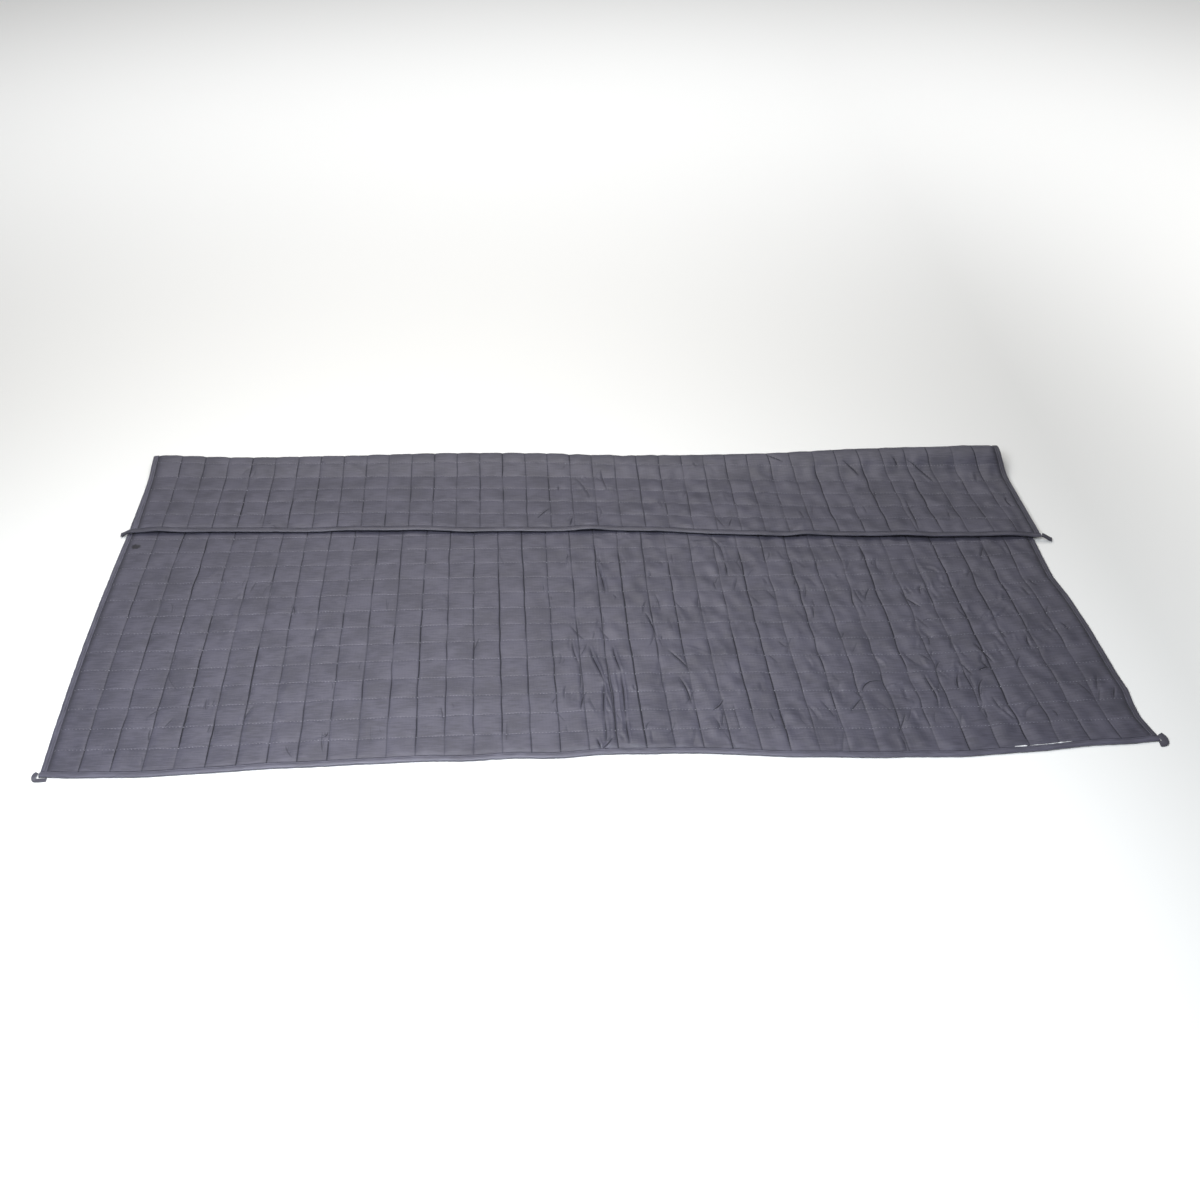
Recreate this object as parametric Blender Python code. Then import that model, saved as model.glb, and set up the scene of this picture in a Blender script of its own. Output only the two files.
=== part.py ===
"""Quilted weighted blanket, laid out on the floor with its far part folded over to the front.

Metres, +Z up.  +X runs along the long hem, +Y runs away from the front hem, and the
blanket lies on Z = 0.  A point of the cloth is named by its quilting lines: column u
counts the cells along the long hem, and row v counts them from the front hem, back to
the fold and over it to the far hem.
"""
import math
from typing import NamedTuple

import bmesh
import bpy
import numpy as np

# ---- driving dimensions (metres) ----
CELL = 0.0534               # quilted pocket, square
COLUMNS = 37                # pockets along the long hem
ROWS = 25                   # pockets from the front hem to the far hem
CLOTH = 0.0060              # cloth with its filling, measured beside a stitch line
STITCH_SINK = 0.0015        # how far a column of stitches pulls the face in
PUFF = 0.0020               # how far the middle of a pocket stands out
ROW_LINE_PUFF = 0.45        # share of that height left on a row line, which is sewn more softly
LAYER_GAP = 0.0025          # air between the lower layer and the folded layer
FIT_GAP = 0.0003            # seam between two sewn pieces
BINDING_WIDTH = 0.0120      # finished width of the edge binding
BINDING_THICK = 0.0055
BINDING_SIDES = 8           # sides of the binding's rounded section
LOOP_LENGTH = 0.0230        # hanging corner loop, from the binding to its folded end
LOOP_WIDTH = 0.0110
LOOP_TAPE = 0.0016          # thickness of the loops' tape
LOOP_SLIT = 0.0008          # open space between the legs of a hanging loop
LOOP_STEPS = 4              # stretches of each leg, and of a flat loop between two points
FOLD_ROUNDNESS = 0.8        # depth of the fold's bulge over its half height
FOLD_EASE = 1.15            # cells over which the folded layer comes down from the crest
LOWER_SHOWN = 13.5          # row where the folded layer hides the lower one
CREST_ROW = 20.0            # last row line in front of the fold's crest
UNDER_STEP = 1.25           # rows between the points of the flat underside, past row 1
HIDDEN_SHARES = (0.06, 0.5)     # where the hidden stretch up to the fold gets points
FOLD_STEPS = 5              # straight stretches from the floor to the crest
SETTLE_SHARES = (0.3, 0.6, 1.0)     # where the underside of the folded layer gets points

# Origin under the middle of the whole outline, in cells from column 0 and row 0.
MIDDLE_U = 18.6039
MIDDLE_V = 9.2182

FLAP_MID = CLOTH + LAYER_GAP + CLOTH / 2.0      # height of the folded layer's middle


class Section(NamedTuple):
    """How one column of the blanket lies; lengths in cells, heights in metres."""

    u: float            # column line
    hem: float          # Y of the front hem, row 0
    row1: float         # Y of row 1
    row12: float        # Y of row 12
    bulge: float        # how far the rows between lie beyond an even spacing
    fold: float         # Y of the fold's crest
    fold_high: float    # height of the crest above the floor
    fold_row: float     # row that lies on the crest
    far_hem: float      # Y of the far hem, row 25, on the folded layer
    hem_dx: float       # sideways shift of the column at the front hem
    bow_dx: float       # extra sideways shift half way up the lower layer
    mid_dx: float       # shift where the folded layer starts
    fold_dx: float      # shift at the fold
    far_dx: float       # shift at the far hem


SECTIONS = (
    Section(0, -0.05, 0.92, 12.20, 0.00, 19.05, 0.023, 19.55, 13.72, 0.08, -0.13, -0.06, -0.05, 0.13),
    Section(3, -0.16, 0.84, 12.12, 0.00, 18.73, 0.023, 19.55, 13.58, 0.21, -0.06, 0.10, 0.11, 0.17),
    Section(8, 0.03, 0.95, 11.98, 0.03, 18.61, 0.023, 19.45, 13.50, 0.29, -0.05, 0.06, 0.10, 0.28),
    Section(12, 0.03, 0.98, 11.88, 0.07, 18.61, 0.023, 19.35, 13.27, 0.22, -0.03, -0.04, 0.05, 0.18),
    Section(16, 0.04, 0.98, 11.77, 0.07, 18.44, 0.023, 19.35, 13.02, 0.13, -0.01, -0.18, 0.00, 0.10),
    Section(20, 0.10, 0.98, 11.62, 0.03, 18.08, 0.023, 19.35, 12.85, 0.02, -0.08, -0.29, -0.11, -0.04),
    Section(24, -0.18, 0.85, 11.50, 0.03, 17.87, 0.025, 19.32, 12.42, -0.12, -0.09, -0.44, -0.22, -0.15),
    Section(28, -0.51, 0.66, 11.33, 0.00, 17.70, 0.031, 19.18, 12.10, -0.18, -0.03, -0.56, -0.42, -0.24),
    Section(31, -0.55, 0.60, 11.28, 0.00, 17.65, 0.037, 19.06, 11.91, -0.13, -0.05, -0.57, -0.48, -0.13),
    Section(34, -0.38, 0.68, 11.32, 0.03, 17.55, 0.041, 19.00, 11.80, 0.01, -0.10, -0.57, -0.46, 0.03),
    Section(36, -0.24, 0.70, 11.35, 0.13, 17.49, 0.043, 19.00, 11.70, 0.18, -0.13, -0.54, -0.43, 0.02),
    Section(37, -0.15, 0.72, 11.36, 0.20, 17.47, 0.043, 19.00, 11.64, 0.26, -0.10, -0.50, -0.44, -0.26),
)
STATIONS = np.array([row.u for row in SECTIONS], dtype=float)


class FlatLoop(NamedTuple):
    """Tape loop pressed flat on the floor, round a front corner of the binding.

    Its path is named from the binding's outer corner: out past the side edge and
    forward past the hem, in metres.
    """

    name: str
    side: int           # -1 at the left edge, +1 at the right edge
    width: float
    path: tuple         # rows of out, forward, height of the tape's middle


class HangingLoop(NamedTuple):
    """Tape loop whose two legs lie on each other and hang over the side edge to the floor."""

    name: str
    side: int
    turn_deg: float     # how far it points to the front of straight out
    drop: float         # how far its end hangs below its root, metres


FLAT_LOOPS = (
    FlatLoop("loop_front_left", -1, 0.0085, (
        (0.0047, -0.0120, 0.0034),
        (0.0048, -0.0030, 0.0030),
        (0.0040, 0.0040, 0.0020),
        (-0.0030, 0.0050, 0.0013),
        (-0.0170, 0.0048, 0.0012),
    )),
    FlatLoop("loop_front_right", 1, 0.0105, (
        (0.0042, -0.0165, 0.0036),
        (0.0090, -0.0085, 0.0032),
        (0.0088, 0.0010, 0.0024),
        (0.0042, 0.0060, 0.0016),
        (-0.0025, 0.0058, 0.0013),
    )),
)
HANGING_LOOPS = (
    HangingLoop("loop_far_left", -1, 7.0, 0.0075),
    HangingLoop("loop_far_right", 1, 20.0, 0.0075),
)

QUILT_COLOR = (0.115, 0.115, 0.138)
BINDING_COLOR = (0.105, 0.105, 0.128)
LOOP_COLOR = (0.110, 0.110, 0.135)


# ---- how the cloth lies ----
def along(column, u):
    """Value of a named column of SECTIONS at column lines u, on a smooth curve."""
    values = np.array([getattr(row, column) for row in SECTIONS], dtype=float)
    slopes = np.gradient(values, STATIONS)
    k = np.clip(np.searchsorted(STATIONS, u, side="right") - 1, 0, len(STATIONS) - 2)
    width = STATIONS[k + 1] - STATIONS[k]
    t = (u - STATIONS[k]) / width
    start = (2 * t ** 3 - 3 * t ** 2 + 1) * values[k] + (t ** 3 - 2 * t ** 2 + t) * width * slopes[k]
    end = (3 * t ** 2 - 2 * t ** 3) * values[k + 1] + (t ** 3 - t ** 2) * width * slopes[k + 1]
    return start + end


def ease(t):
    """Smooth step from 0 to 1."""
    t = np.clip(t, 0.0, 1.0)
    return t * t * (3.0 - 2.0 * t)


def fold_start(u):
    """Row where the lower layer leaves the floor and the fold's bulge begins."""
    rise = (along("fold_high", u) - CLOTH) / 2.0
    depth = FOLD_ROUNDNESS * rise
    return along("fold_row", u) - math.pi * np.sqrt((rise ** 2 + depth ** 2) / 2.0) / CELL


def middle_point(u, v):
    """X, Y, Z of the middle of the cloth's thickness at column u and row v."""
    hem, row1, row12 = along("hem", u), along("row1", u), along("row12", u)
    fold, high, crest = along("fold", u), along("fold_high", u), along("fold_row", u)
    start = fold_start(u)
    rise = (high - CLOTH) / 2.0
    depth = FOLD_ROUNDNESS * rise / CELL

    t = (v - 1.0) / 11.0
    y = row1 + (row12 - row1) * t + 4.0 * along("bulge", u) * t * (1.0 - t)
    y = np.where(v < 1.0, hem + (row1 - hem) * v, y)
    y = np.where(v > 12.0, row12 + (fold - row12) * (v - 12.0) / (start - 12.0), y)
    z = np.full_like(y, CLOTH / 2.0)

    angle = math.pi * ((v - start) / (crest - start) - 0.5)
    in_fold = (v > start) & (v <= crest)
    y = np.where(in_fold, fold + depth * np.cos(angle), y)
    z = np.where(in_fold, high / 2.0 + rise * np.sin(angle), z)

    over = v > crest
    share = (v - crest) / (ROWS - crest)
    y = np.where(over, fold + (along("far_hem", u) - fold) * share, y)
    crest_lift = high - CLOTH / 2.0 - FLAP_MID
    z = np.where(over, FLAP_MID + crest_lift * (1.0 - ease((v - crest) / FOLD_EASE)), z)

    low = np.clip(v / LOWER_SHOWN, 0.0, 1.0)
    dx = along("hem_dx", u) * (1.0 - low) + along("mid_dx", u) * low
    dx = dx + along("bow_dx", u) * np.sin(math.pi * low)
    up = np.clip((v - LOWER_SHOWN) / (crest - LOWER_SHOWN), 0.0, 1.0)
    dx = dx + (along("fold_dx", u) - along("mid_dx", u)) * up
    dx = np.where(over, along("fold_dx", u) * (1.0 - share) + along("far_dx", u) * share, dx)
    return (u + dx - MIDDLE_U) * CELL, (y - MIDDLE_V) * CELL, z


def outward(u, v):
    """Y and Z of the unit vector across the cloth: down below, back at the fold, up on top."""
    step = 0.02
    before = middle_point(u, np.maximum(v - step, 0.0))
    after = middle_point(u, np.minimum(v + step, float(ROWS)))
    dy, dz = after[1] - before[1], after[2] - before[2]
    size = np.hypot(dy, dz)
    return dz / size, -dy / size


def puff(u, v):
    """Height of the quilted face over the plain cloth: low on column lines, high between."""
    across = np.abs(np.sin(math.pi * u))
    down = np.abs(np.sin(math.pi * v))
    return -STITCH_SINK + (STITCH_SINK + PUFF) * across * (ROW_LINE_PUFF + (1.0 - ROW_LINE_PUFF) * down)


def face_point(u, v, side, quilted):
    """Point of the outer (side +1) or inner (side -1) face of the cloth."""
    x, y, z = middle_point(u, v)
    out_y, out_z = outward(u, v)
    reach = CLOTH / 2.0 + (puff(u, v) if quilted else 0.0)
    return np.stack([x, y + side * reach * out_y, z + side * reach * out_z], axis=-1)


# ---- meshes ----
def material(name, color, roughness):
    """Plain cloth finish."""
    made = bpy.data.materials.new(name)
    made.use_nodes = True
    shader = made.node_tree.nodes["Principled BSDF"]
    shader.inputs["Base Color"].default_value = (*color, 1.0)
    shader.inputs["Roughness"].default_value = roughness
    shader.inputs["Metallic"].default_value = 0.0
    return made


def add_object(name, mesh, finish, parent, location=(0.0, 0.0, 0.0), turn=(0.0, 0.0, 0.0)):
    """Put a mesh into the scene under the blanket's empty."""
    mesh.materials.append(finish)
    made = bpy.data.objects.new(name, mesh)
    bpy.context.collection.objects.link(made)
    made.parent = parent
    made.location = location
    made.rotation_euler = turn
    return made


def mesh_from(name, build):
    """Make a mesh from a bmesh that the function build fills, with its faces pointing out."""
    work = bmesh.new()
    build(work)
    bmesh.ops.recalc_face_normals(work, faces=work.faces)
    mesh = bpy.data.meshes.new(name)
    work.to_mesh(mesh)
    work.free()
    mesh.shade_smooth()
    return mesh


def skin(work, rings):
    """Join a row of closed rings of points into a tube; returns the rings' vertices."""
    made = [[work.verts.new(point) for point in ring] for ring in rings]
    for near, far in zip(made, made[1:]):
        for k, vert in enumerate(near):
            nxt = (k + 1) % len(near)
            work.faces.new((vert, near[nxt], far[nxt], far[k]))
    return made


def zip_edges(work, left, left_rows, right, right_rows):
    """Fill the strip between two lines of vertices, taking the nearer row each time."""
    i, j = 0, 0
    while i < len(left) - 1 or j < len(right) - 1:
        left_next = left_rows[i + 1] if i < len(left) - 1 else math.inf
        right_next = right_rows[j + 1] if j < len(right) - 1 else math.inf
        if left_next <= right_next:
            work.faces.new((left[i], left[i + 1], right[j]))
            i += 1
        else:
            work.faces.new((left[i], right[j + 1], right[j]))
            j += 1


def inner_rows(u):
    """Rows and quilting of the face's points: lower layer's top, fold, folded layer's underside."""
    start, crest = fold_start(u), along("fold_row", u)
    shown = [(0.5 * k, True) for k in range(int(2 * LOWER_SHOWN) + 1)]
    hidden = [(LOWER_SHOWN + (start - LOWER_SHOWN) * t, False) for t in HIDDEN_SHARES]
    bend = [(start + (crest - start) * k / FOLD_STEPS, False) for k in range(FOLD_STEPS + 1)]
    under = [(crest + FOLD_EASE * t, False) for t in SETTLE_SHARES]
    return shown + hidden + bend + under + [(float(ROWS), False)]


def outer_rows(u):
    """The same for the lower layer's underside, the back of the fold and the folded layer's top."""
    start, crest = fold_start(u), along("fold_row", u)
    under = [(0.0, False)]
    under += [(1.0 + UNDER_STEP * k, False) for k in range(int((LOWER_SHOWN - 1.0) / UNDER_STEP) + 1)]
    under += [(LOWER_SHOWN + (start - LOWER_SHOWN) * HIDDEN_SHARES[-1], False)]
    bend = [(start + (crest - start) * k / FOLD_STEPS, False) for k in range(FOLD_STEPS + 1)]
    top = [(crest + (CREST_ROW - crest) * 0.5, True)]
    top += [(CREST_ROW + 0.5 * k, True) for k in range(2 * (ROWS - int(CREST_ROW)) + 1)]
    return under + bend + top


def face_line(u, rows, side):
    """Points of one face along one column line."""
    u_all = np.full(len(rows), float(u))
    v = np.array([row for row, _ in rows])
    quilted = face_point(u_all, v, side, True)
    plain = face_point(u_all, v, side, False)
    shown = np.array([show for _, show in rows])[:, None]
    return np.where(shown, quilted, plain)


def build_quilt(work):
    """The folded cloth: one section of two layers and their fold, swept from side to side."""
    rings, row_lists = [], []
    for u in np.arange(2 * COLUMNS + 1) / 2.0:
        inner, outer = inner_rows(u), outer_rows(u)
        ring = np.concatenate([face_line(u, inner, -1.0), face_line(u, outer, 1.0)[::-1]])
        rings.append(ring)
        row_lists.append((len(inner), [row for row, _ in inner], [row for row, _ in outer]))
    verts = skin(work, rings)
    for ring, (count, inner, outer) in ((verts[0], row_lists[0]), (verts[-1], row_lists[-1])):
        zip_edges(work, ring[:count], inner, ring[:count - 1:-1], outer)


def binding_ring(centre, across, up):
    """Rounded section of the binding around a point, in the plane of two unit vectors."""
    angles = 2.0 * math.pi * (np.arange(BINDING_SIDES) + 0.5) / BINDING_SIDES
    squarish = 1.0 / math.cos(math.pi / BINDING_SIDES)
    wide = np.cos(angles)[:, None] * across * BINDING_WIDTH / 2.0 * squarish
    high = np.sin(angles)[:, None] * up * BINDING_THICK / 2.0 * squarish
    return centre + wide + high


def build_side_binding(side):
    """Binding of a side edge: along the lower layer, round the fold and back on top."""
    u = np.array([0.0 if side < 0 else float(COLUMNS)])
    shift = side * (FIT_GAP + BINDING_WIDTH / 2.0)
    rows = [row for row, _ in inner_rows(u[0])]

    def build(work):
        rings = []
        for row in rows:
            v = np.array([row])
            x, y, z = (value[0] for value in middle_point(u, v))
            out_y, out_z = (value[0] for value in outward(u, v))
            centre = np.array([x + shift, y, z])
            across = np.array([1.0, 0.0, 0.0])
            rings.append(binding_ring(centre, across, np.array([0.0, out_y, out_z])))
        ends = skin(work, rings)
        work.faces.new(ends[0])
        work.faces.new(ends[-1][::-1])

    return build


def build_hem_binding(row):
    """Binding of the front or far hem, running over the ends of the side bindings."""
    overhang = FIT_GAP + BINDING_WIDTH

    def build(work):
        u = np.arange(2 * COLUMNS + 1) / 2.0
        x, y, z = middle_point(u, np.full_like(u, float(row)))
        centres = np.stack([x, y - FIT_GAP - BINDING_WIDTH / 2.0, z], axis=-1)
        first = centres[0] - (overhang, 0.0, 0.0)
        last = centres[-1] + (overhang, 0.0, 0.0)
        across, up = np.array([0.0, 1.0, 0.0]), np.array([0.0, 0.0, 1.0])
        rings = [binding_ring(centre, across, up) for centre in (first, *centres, last)]
        ends = skin(work, rings)
        work.faces.new(ends[0])
        work.faces.new(ends[-1][::-1])

    return build


def ribbon(work, centres, across, up, width):
    """Tape with a rectangular section, carried along centres with its width along across."""
    rings = []
    for centre, wide, thick in zip(centres, across, up):
        corners = ((-1, -1), (1, -1), (1, 1), (-1, 1))
        rings.append([centre + a * wide * width / 2.0 + b * thick * LOOP_TAPE / 2.0 for a, b in corners])
    ends = skin(work, rings)
    work.faces.new(ends[0])
    work.faces.new(ends[-1][::-1])


def rounded(points, steps):
    """Smooth curve through points, with steps stretches between each two of them."""
    points = np.array(points, dtype=float)
    slopes = np.gradient(points, axis=0)
    curve = []
    for k in range(len(points) - 1):
        t = (np.arange(steps) / steps)[:, None]
        curve.append((2 * t ** 3 - 3 * t ** 2 + 1) * points[k] + (t ** 3 - 2 * t ** 2 + t) * slopes[k]
                     + (3 * t ** 2 - 2 * t ** 3) * points[k + 1] + (t ** 3 - t ** 2) * slopes[k + 1])
    return np.concatenate([*curve, points[-1:]])


def build_flat_loop(loop):
    """Flat loop, its points measured from the binding's outer corner."""
    path = np.array(loop.path) * (loop.side, -1.0, 1.0)

    def build(work):
        centres = rounded(path, LOOP_STEPS)
        heading = np.gradient(centres, axis=0)
        across = np.stack([-heading[:, 1], heading[:, 0], np.zeros(len(heading))], axis=-1)
        across /= np.linalg.norm(across, axis=1)[:, None]
        up = np.tile((0.0, 0.0, 1.0), (len(centres), 1))
        ribbon(work, centres, across, up, loop.width)

    return build


def build_hanging_loop(loop):
    """Hanging loop along its own +X: lower leg out, round end, upper leg back."""
    bend = (LOOP_SLIT + LOOP_TAPE) / 2.0
    straight = LOOP_LENGTH - bend - LOOP_TAPE / 2.0
    out = np.linspace(0.0, straight, LOOP_STEPS + 1)
    turn = math.pi * (np.arange(1, LOOP_STEPS) / LOOP_STEPS - 0.5)
    x = np.concatenate([out, straight + bend * np.cos(turn), out[::-1]])
    angle = np.concatenate([np.full_like(out, -math.pi / 2), turn, np.full_like(out, math.pi / 2)])
    z = bend * np.sin(angle) - loop.drop * ease(x / LOOP_LENGTH)
    up = np.stack([np.cos(angle), np.zeros_like(angle), np.sin(angle)], axis=-1)

    def build(work):
        centres = np.stack([x, np.zeros_like(x), z], axis=-1)
        across = np.tile((0.0, 1.0, 0.0), (len(x), 1))
        ribbon(work, centres, across, up, LOOP_WIDTH)

    return build


def binding_corner(side, row):
    """Outer front corner of a hem's binding, and the height of its middle."""
    u = np.array([0.0 if side < 0 else float(COLUMNS)])
    x, y, z = (float(value[0]) for value in middle_point(u, np.array([float(row)])))
    return x + side * (FIT_GAP + BINDING_WIDTH), y - FIT_GAP - BINDING_WIDTH, z


def clear_scene():
    """Remove whatever the file opens with."""
    for old in list(bpy.data.objects):
        bpy.data.objects.remove(old, do_unlink=True)


def build_blanket():
    """Make every piece of the blanket."""
    blanket = bpy.data.objects.new("blanket", None)
    bpy.context.collection.objects.link(blanket)
    quilt_cloth = material("quilt_cloth", QUILT_COLOR, 0.75)
    binding_cloth = material("binding_cloth", BINDING_COLOR, 0.70)
    loop_tape = material("loop_tape", LOOP_COLOR, 0.80)

    add_object("quilt_panel", mesh_from("quilt_panel", build_quilt), quilt_cloth, blanket)
    for name, row in (("binding_front", 0), ("binding_far", ROWS)):
        add_object(name, mesh_from(name, build_hem_binding(row)), binding_cloth, blanket)
    for name, side in (("binding_left", -1), ("binding_right", 1)):
        add_object(name, mesh_from(name, build_side_binding(side)), binding_cloth, blanket)
    for loop in FLAT_LOOPS:
        x, y, _ = binding_corner(loop.side, 0)
        mesh = mesh_from(loop.name, build_flat_loop(loop))
        add_object(loop.name, mesh, loop_tape, blanket, (x, y, 0.0))
    for loop in HANGING_LOOPS:
        x, y, z = binding_corner(loop.side, ROWS)
        turn = math.radians(loop.turn_deg)
        heading = turn - math.pi if loop.side < 0 else -turn
        room = FIT_GAP + LOOP_WIDTH / 2.0 * math.sin(turn)
        root = (x + loop.side * room, y + BINDING_WIDTH / 2.0, z)
        mesh = mesh_from(loop.name, build_hanging_loop(loop))
        add_object(loop.name, mesh, loop_tape, blanket, root, (0.0, 0.0, heading))


clear_scene()
build_blanket()
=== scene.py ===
"""Looks of a quilted weighted blanket that lies on a pale floor, its far part folded to the front.

Metres, +Z up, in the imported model's frame.  +X runs along the long hem and +Y away from the
front hem.  A point of the cloth is named by its quilting lines: column u counts the pockets
along the long hem, and row v counts them from the front hem, back to the fold and over it to
the far hem.  Every piece is worked out from these two numbers.
"""

import logging
import math
from dataclasses import dataclass, field
from enum import Enum
from typing import NamedTuple

import bpy
import numpy as np
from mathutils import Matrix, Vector


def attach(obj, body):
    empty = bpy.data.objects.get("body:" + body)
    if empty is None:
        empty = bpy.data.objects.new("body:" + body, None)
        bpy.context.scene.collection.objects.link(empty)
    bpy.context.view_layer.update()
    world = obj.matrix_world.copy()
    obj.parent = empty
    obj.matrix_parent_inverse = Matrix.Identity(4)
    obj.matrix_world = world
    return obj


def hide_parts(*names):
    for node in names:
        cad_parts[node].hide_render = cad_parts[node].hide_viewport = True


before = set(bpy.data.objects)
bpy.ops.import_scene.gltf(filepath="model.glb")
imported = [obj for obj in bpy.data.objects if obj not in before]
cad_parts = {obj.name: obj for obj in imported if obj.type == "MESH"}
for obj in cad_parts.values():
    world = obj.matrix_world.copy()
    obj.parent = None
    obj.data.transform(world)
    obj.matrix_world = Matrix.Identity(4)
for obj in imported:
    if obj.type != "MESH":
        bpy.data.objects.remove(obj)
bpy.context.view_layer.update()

LOG = logging.getLogger("blanket")
MM = 0.001
UP = np.array([0.0, 0.0, 1.0])
NO_CREASE = 9.0                 # distance that a point far from every crease is given, mm
BAND = 2.0 * math.pi / 20.0     # length of one band of the wave texture, at scale 1
SLANT_BAND = 2.0 * BAND         # the same along one axis for its diagonal bands
Material, Object = bpy.types.Material, bpy.types.Object
Tree, Socket = bpy.types.NodeTree, bpy.types.NodeSocket
Array = np.ndarray


# ---------------------------------------------------------------- how the cloth lies
class Section(NamedTuple):
    """How one column of the blanket lies; lengths in cells, heights in metres."""

    u: float            # column line
    hem: float          # Y of the front hem, row 0
    row1: float         # Y of row 1
    row12: float        # Y of row 12
    bulge: float        # how far the rows between lie beyond an even spacing
    fold: float         # Y of the fold's crest
    fold_high: float    # height of the crest above the floor
    fold_row: float     # row that lies on the crest
    far_hem: float      # Y of the far hem, on the folded layer
    hem_dx: float       # sideways shift of the column at the front hem
    bow_dx: float       # extra sideways shift half way up the lower layer
    mid_dx: float       # shift where the folded layer starts
    fold_dx: float      # shift at the fold
    far_dx: float       # shift at the far hem


SECTIONS = (
    Section(0, -0.05, 0.92, 12.20, 0.00, 19.05, 0.023, 19.55, 13.72, 0.08, -0.13, -0.06, -0.05, 0.13),
    Section(3, -0.16, 0.84, 12.12, 0.00, 18.73, 0.023, 19.55, 13.58, 0.21, -0.06, 0.10, 0.11, 0.17),
    Section(8, 0.03, 0.95, 11.98, 0.03, 18.61, 0.023, 19.45, 13.50, 0.29, -0.05, 0.06, 0.10, 0.28),
    Section(12, 0.03, 0.98, 11.88, 0.07, 18.61, 0.023, 19.35, 13.27, 0.22, -0.03, -0.04, 0.05, 0.18),
    Section(16, 0.04, 0.98, 11.77, 0.07, 18.44, 0.023, 19.35, 13.02, 0.13, -0.01, -0.18, 0.00, 0.10),
    Section(20, 0.10, 0.98, 11.62, 0.03, 18.08, 0.023, 19.35, 12.85, 0.02, -0.08, -0.29, -0.11, -0.04),
    Section(24, -0.18, 0.85, 11.50, 0.03, 17.87, 0.025, 19.32, 12.42, -0.12, -0.09, -0.44, -0.22, -0.15),
    Section(28, -0.51, 0.66, 11.33, 0.00, 17.70, 0.031, 19.18, 12.10, -0.18, -0.03, -0.56, -0.42, -0.24),
    Section(31, -0.55, 0.60, 11.28, 0.00, 17.65, 0.037, 19.06, 11.91, -0.13, -0.05, -0.57, -0.48, -0.13),
    Section(34, -0.38, 0.68, 11.32, 0.03, 17.55, 0.041, 19.00, 11.80, 0.01, -0.10, -0.57, -0.46, 0.03),
    Section(36, -0.24, 0.70, 11.35, 0.13, 17.49, 0.043, 19.00, 11.70, 0.18, -0.13, -0.54, -0.43, 0.02),
    Section(37, -0.15, 0.72, 11.36, 0.20, 17.47, 0.043, 19.00, 11.64, 0.26, -0.10, -0.50, -0.44, -0.26),
)

# stretches where the folded layer's hem stands off the cloth below: the middle column, half the
# length in cells, and the height in mm
HEM_LIFTS = (
    (0.9, 0.7, 3.2), (3.2, 1.6, 0.9), (9.6, 1.3, 2.8), (12.2, 1.2, 2.2), (15.4, 1.0, 0.8),
    (18.6, 0.8, 5.0), (21.4, 1.0, 2.2), (24.2, 1.3, 2.6), (25.9, 0.6, 2.4), (27.6, 0.6, 3.6),
    (29.6, 1.2, 2.0), (31.6, 0.7, 3.2), (33.4, 1.4, 1.6), (35.6, 0.8, 3.4), (31.0, 4.5, 1.8),
    (15.0, 5.0, 1.0),
)

# places on the lower layer's right edge that lie off the smooth line of SECTIONS: the row, and how
# far to the right in mm
EDGE_WAVES = (
    (0.0, -1.0), (0.5, -5.0), (1.1, -9.0), (1.7, -7.0), (2.5, 0.0), (3.3, -1.5),
    (4.3, 0.0), (6.0, 1.5), (7.9, -1.5), (8.5, -5.0), (9.3, -10.0), (10.5, -8.0),
    (12.0, -4.5), (13.5, -2.5), (15.0, 0.0),
)


class Layer(Enum):
    """Which face of the folded cloth a point lies on."""

    INNER = -1.0        # the lower layer's top, and the folded layer's underside
    OUTER = 1.0         # the lower layer's underside, and the folded layer's top


def ease(t: Array) -> Array:
    """Smooth step: 3 t squared less 2 t cubed, held at 0 and 1."""
    t = np.clip(t, 0.0, 1.0)
    return t * t * (3.0 - 2.0 * t)


def cubic(t: Array, start: Array, end: Array, leave: Array, arrive: Array) -> Array:
    """Cubic curve from start to end, with the slopes leave and arrive there, at t from 0 to 1."""
    return ((2 * t ** 3 - 3 * t ** 2 + 1) * start + (t ** 3 - 2 * t ** 2 + t) * leave
            + (3 * t ** 2 - 2 * t ** 3) * end + (t ** 3 - t ** 2) * arrive)


def waves(x: Array, y: Array, seed: int, slow: float, fast: float, count: int = 14) -> Array:
    """Smooth uneven field of about unit height.

    A sum of sine waves, each with its own direction, phase and a number of turns between
    slow and fast per unit of x and y.

    Args:
        x: first coordinate.
        y: second coordinate.
        seed: picks the waves.
        slow: fewest turns per unit.
        fast: most turns per unit.
        count: number of waves.

    Returns:
        The field at each point.
    """
    draw = np.random.RandomState(seed)
    total = np.zeros(np.broadcast(x, y).shape)
    for _ in range(count):
        turns = draw.uniform(slow, fast) * 2.0 * math.pi
        heading = draw.uniform(0.0, 2.0 * math.pi)
        phase = draw.uniform(0.0, 2.0 * math.pi)
        total += np.sin(turns * (x * math.cos(heading) + y * math.sin(heading)) + phase)
    return total * math.sqrt(2.0 / count)


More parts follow.
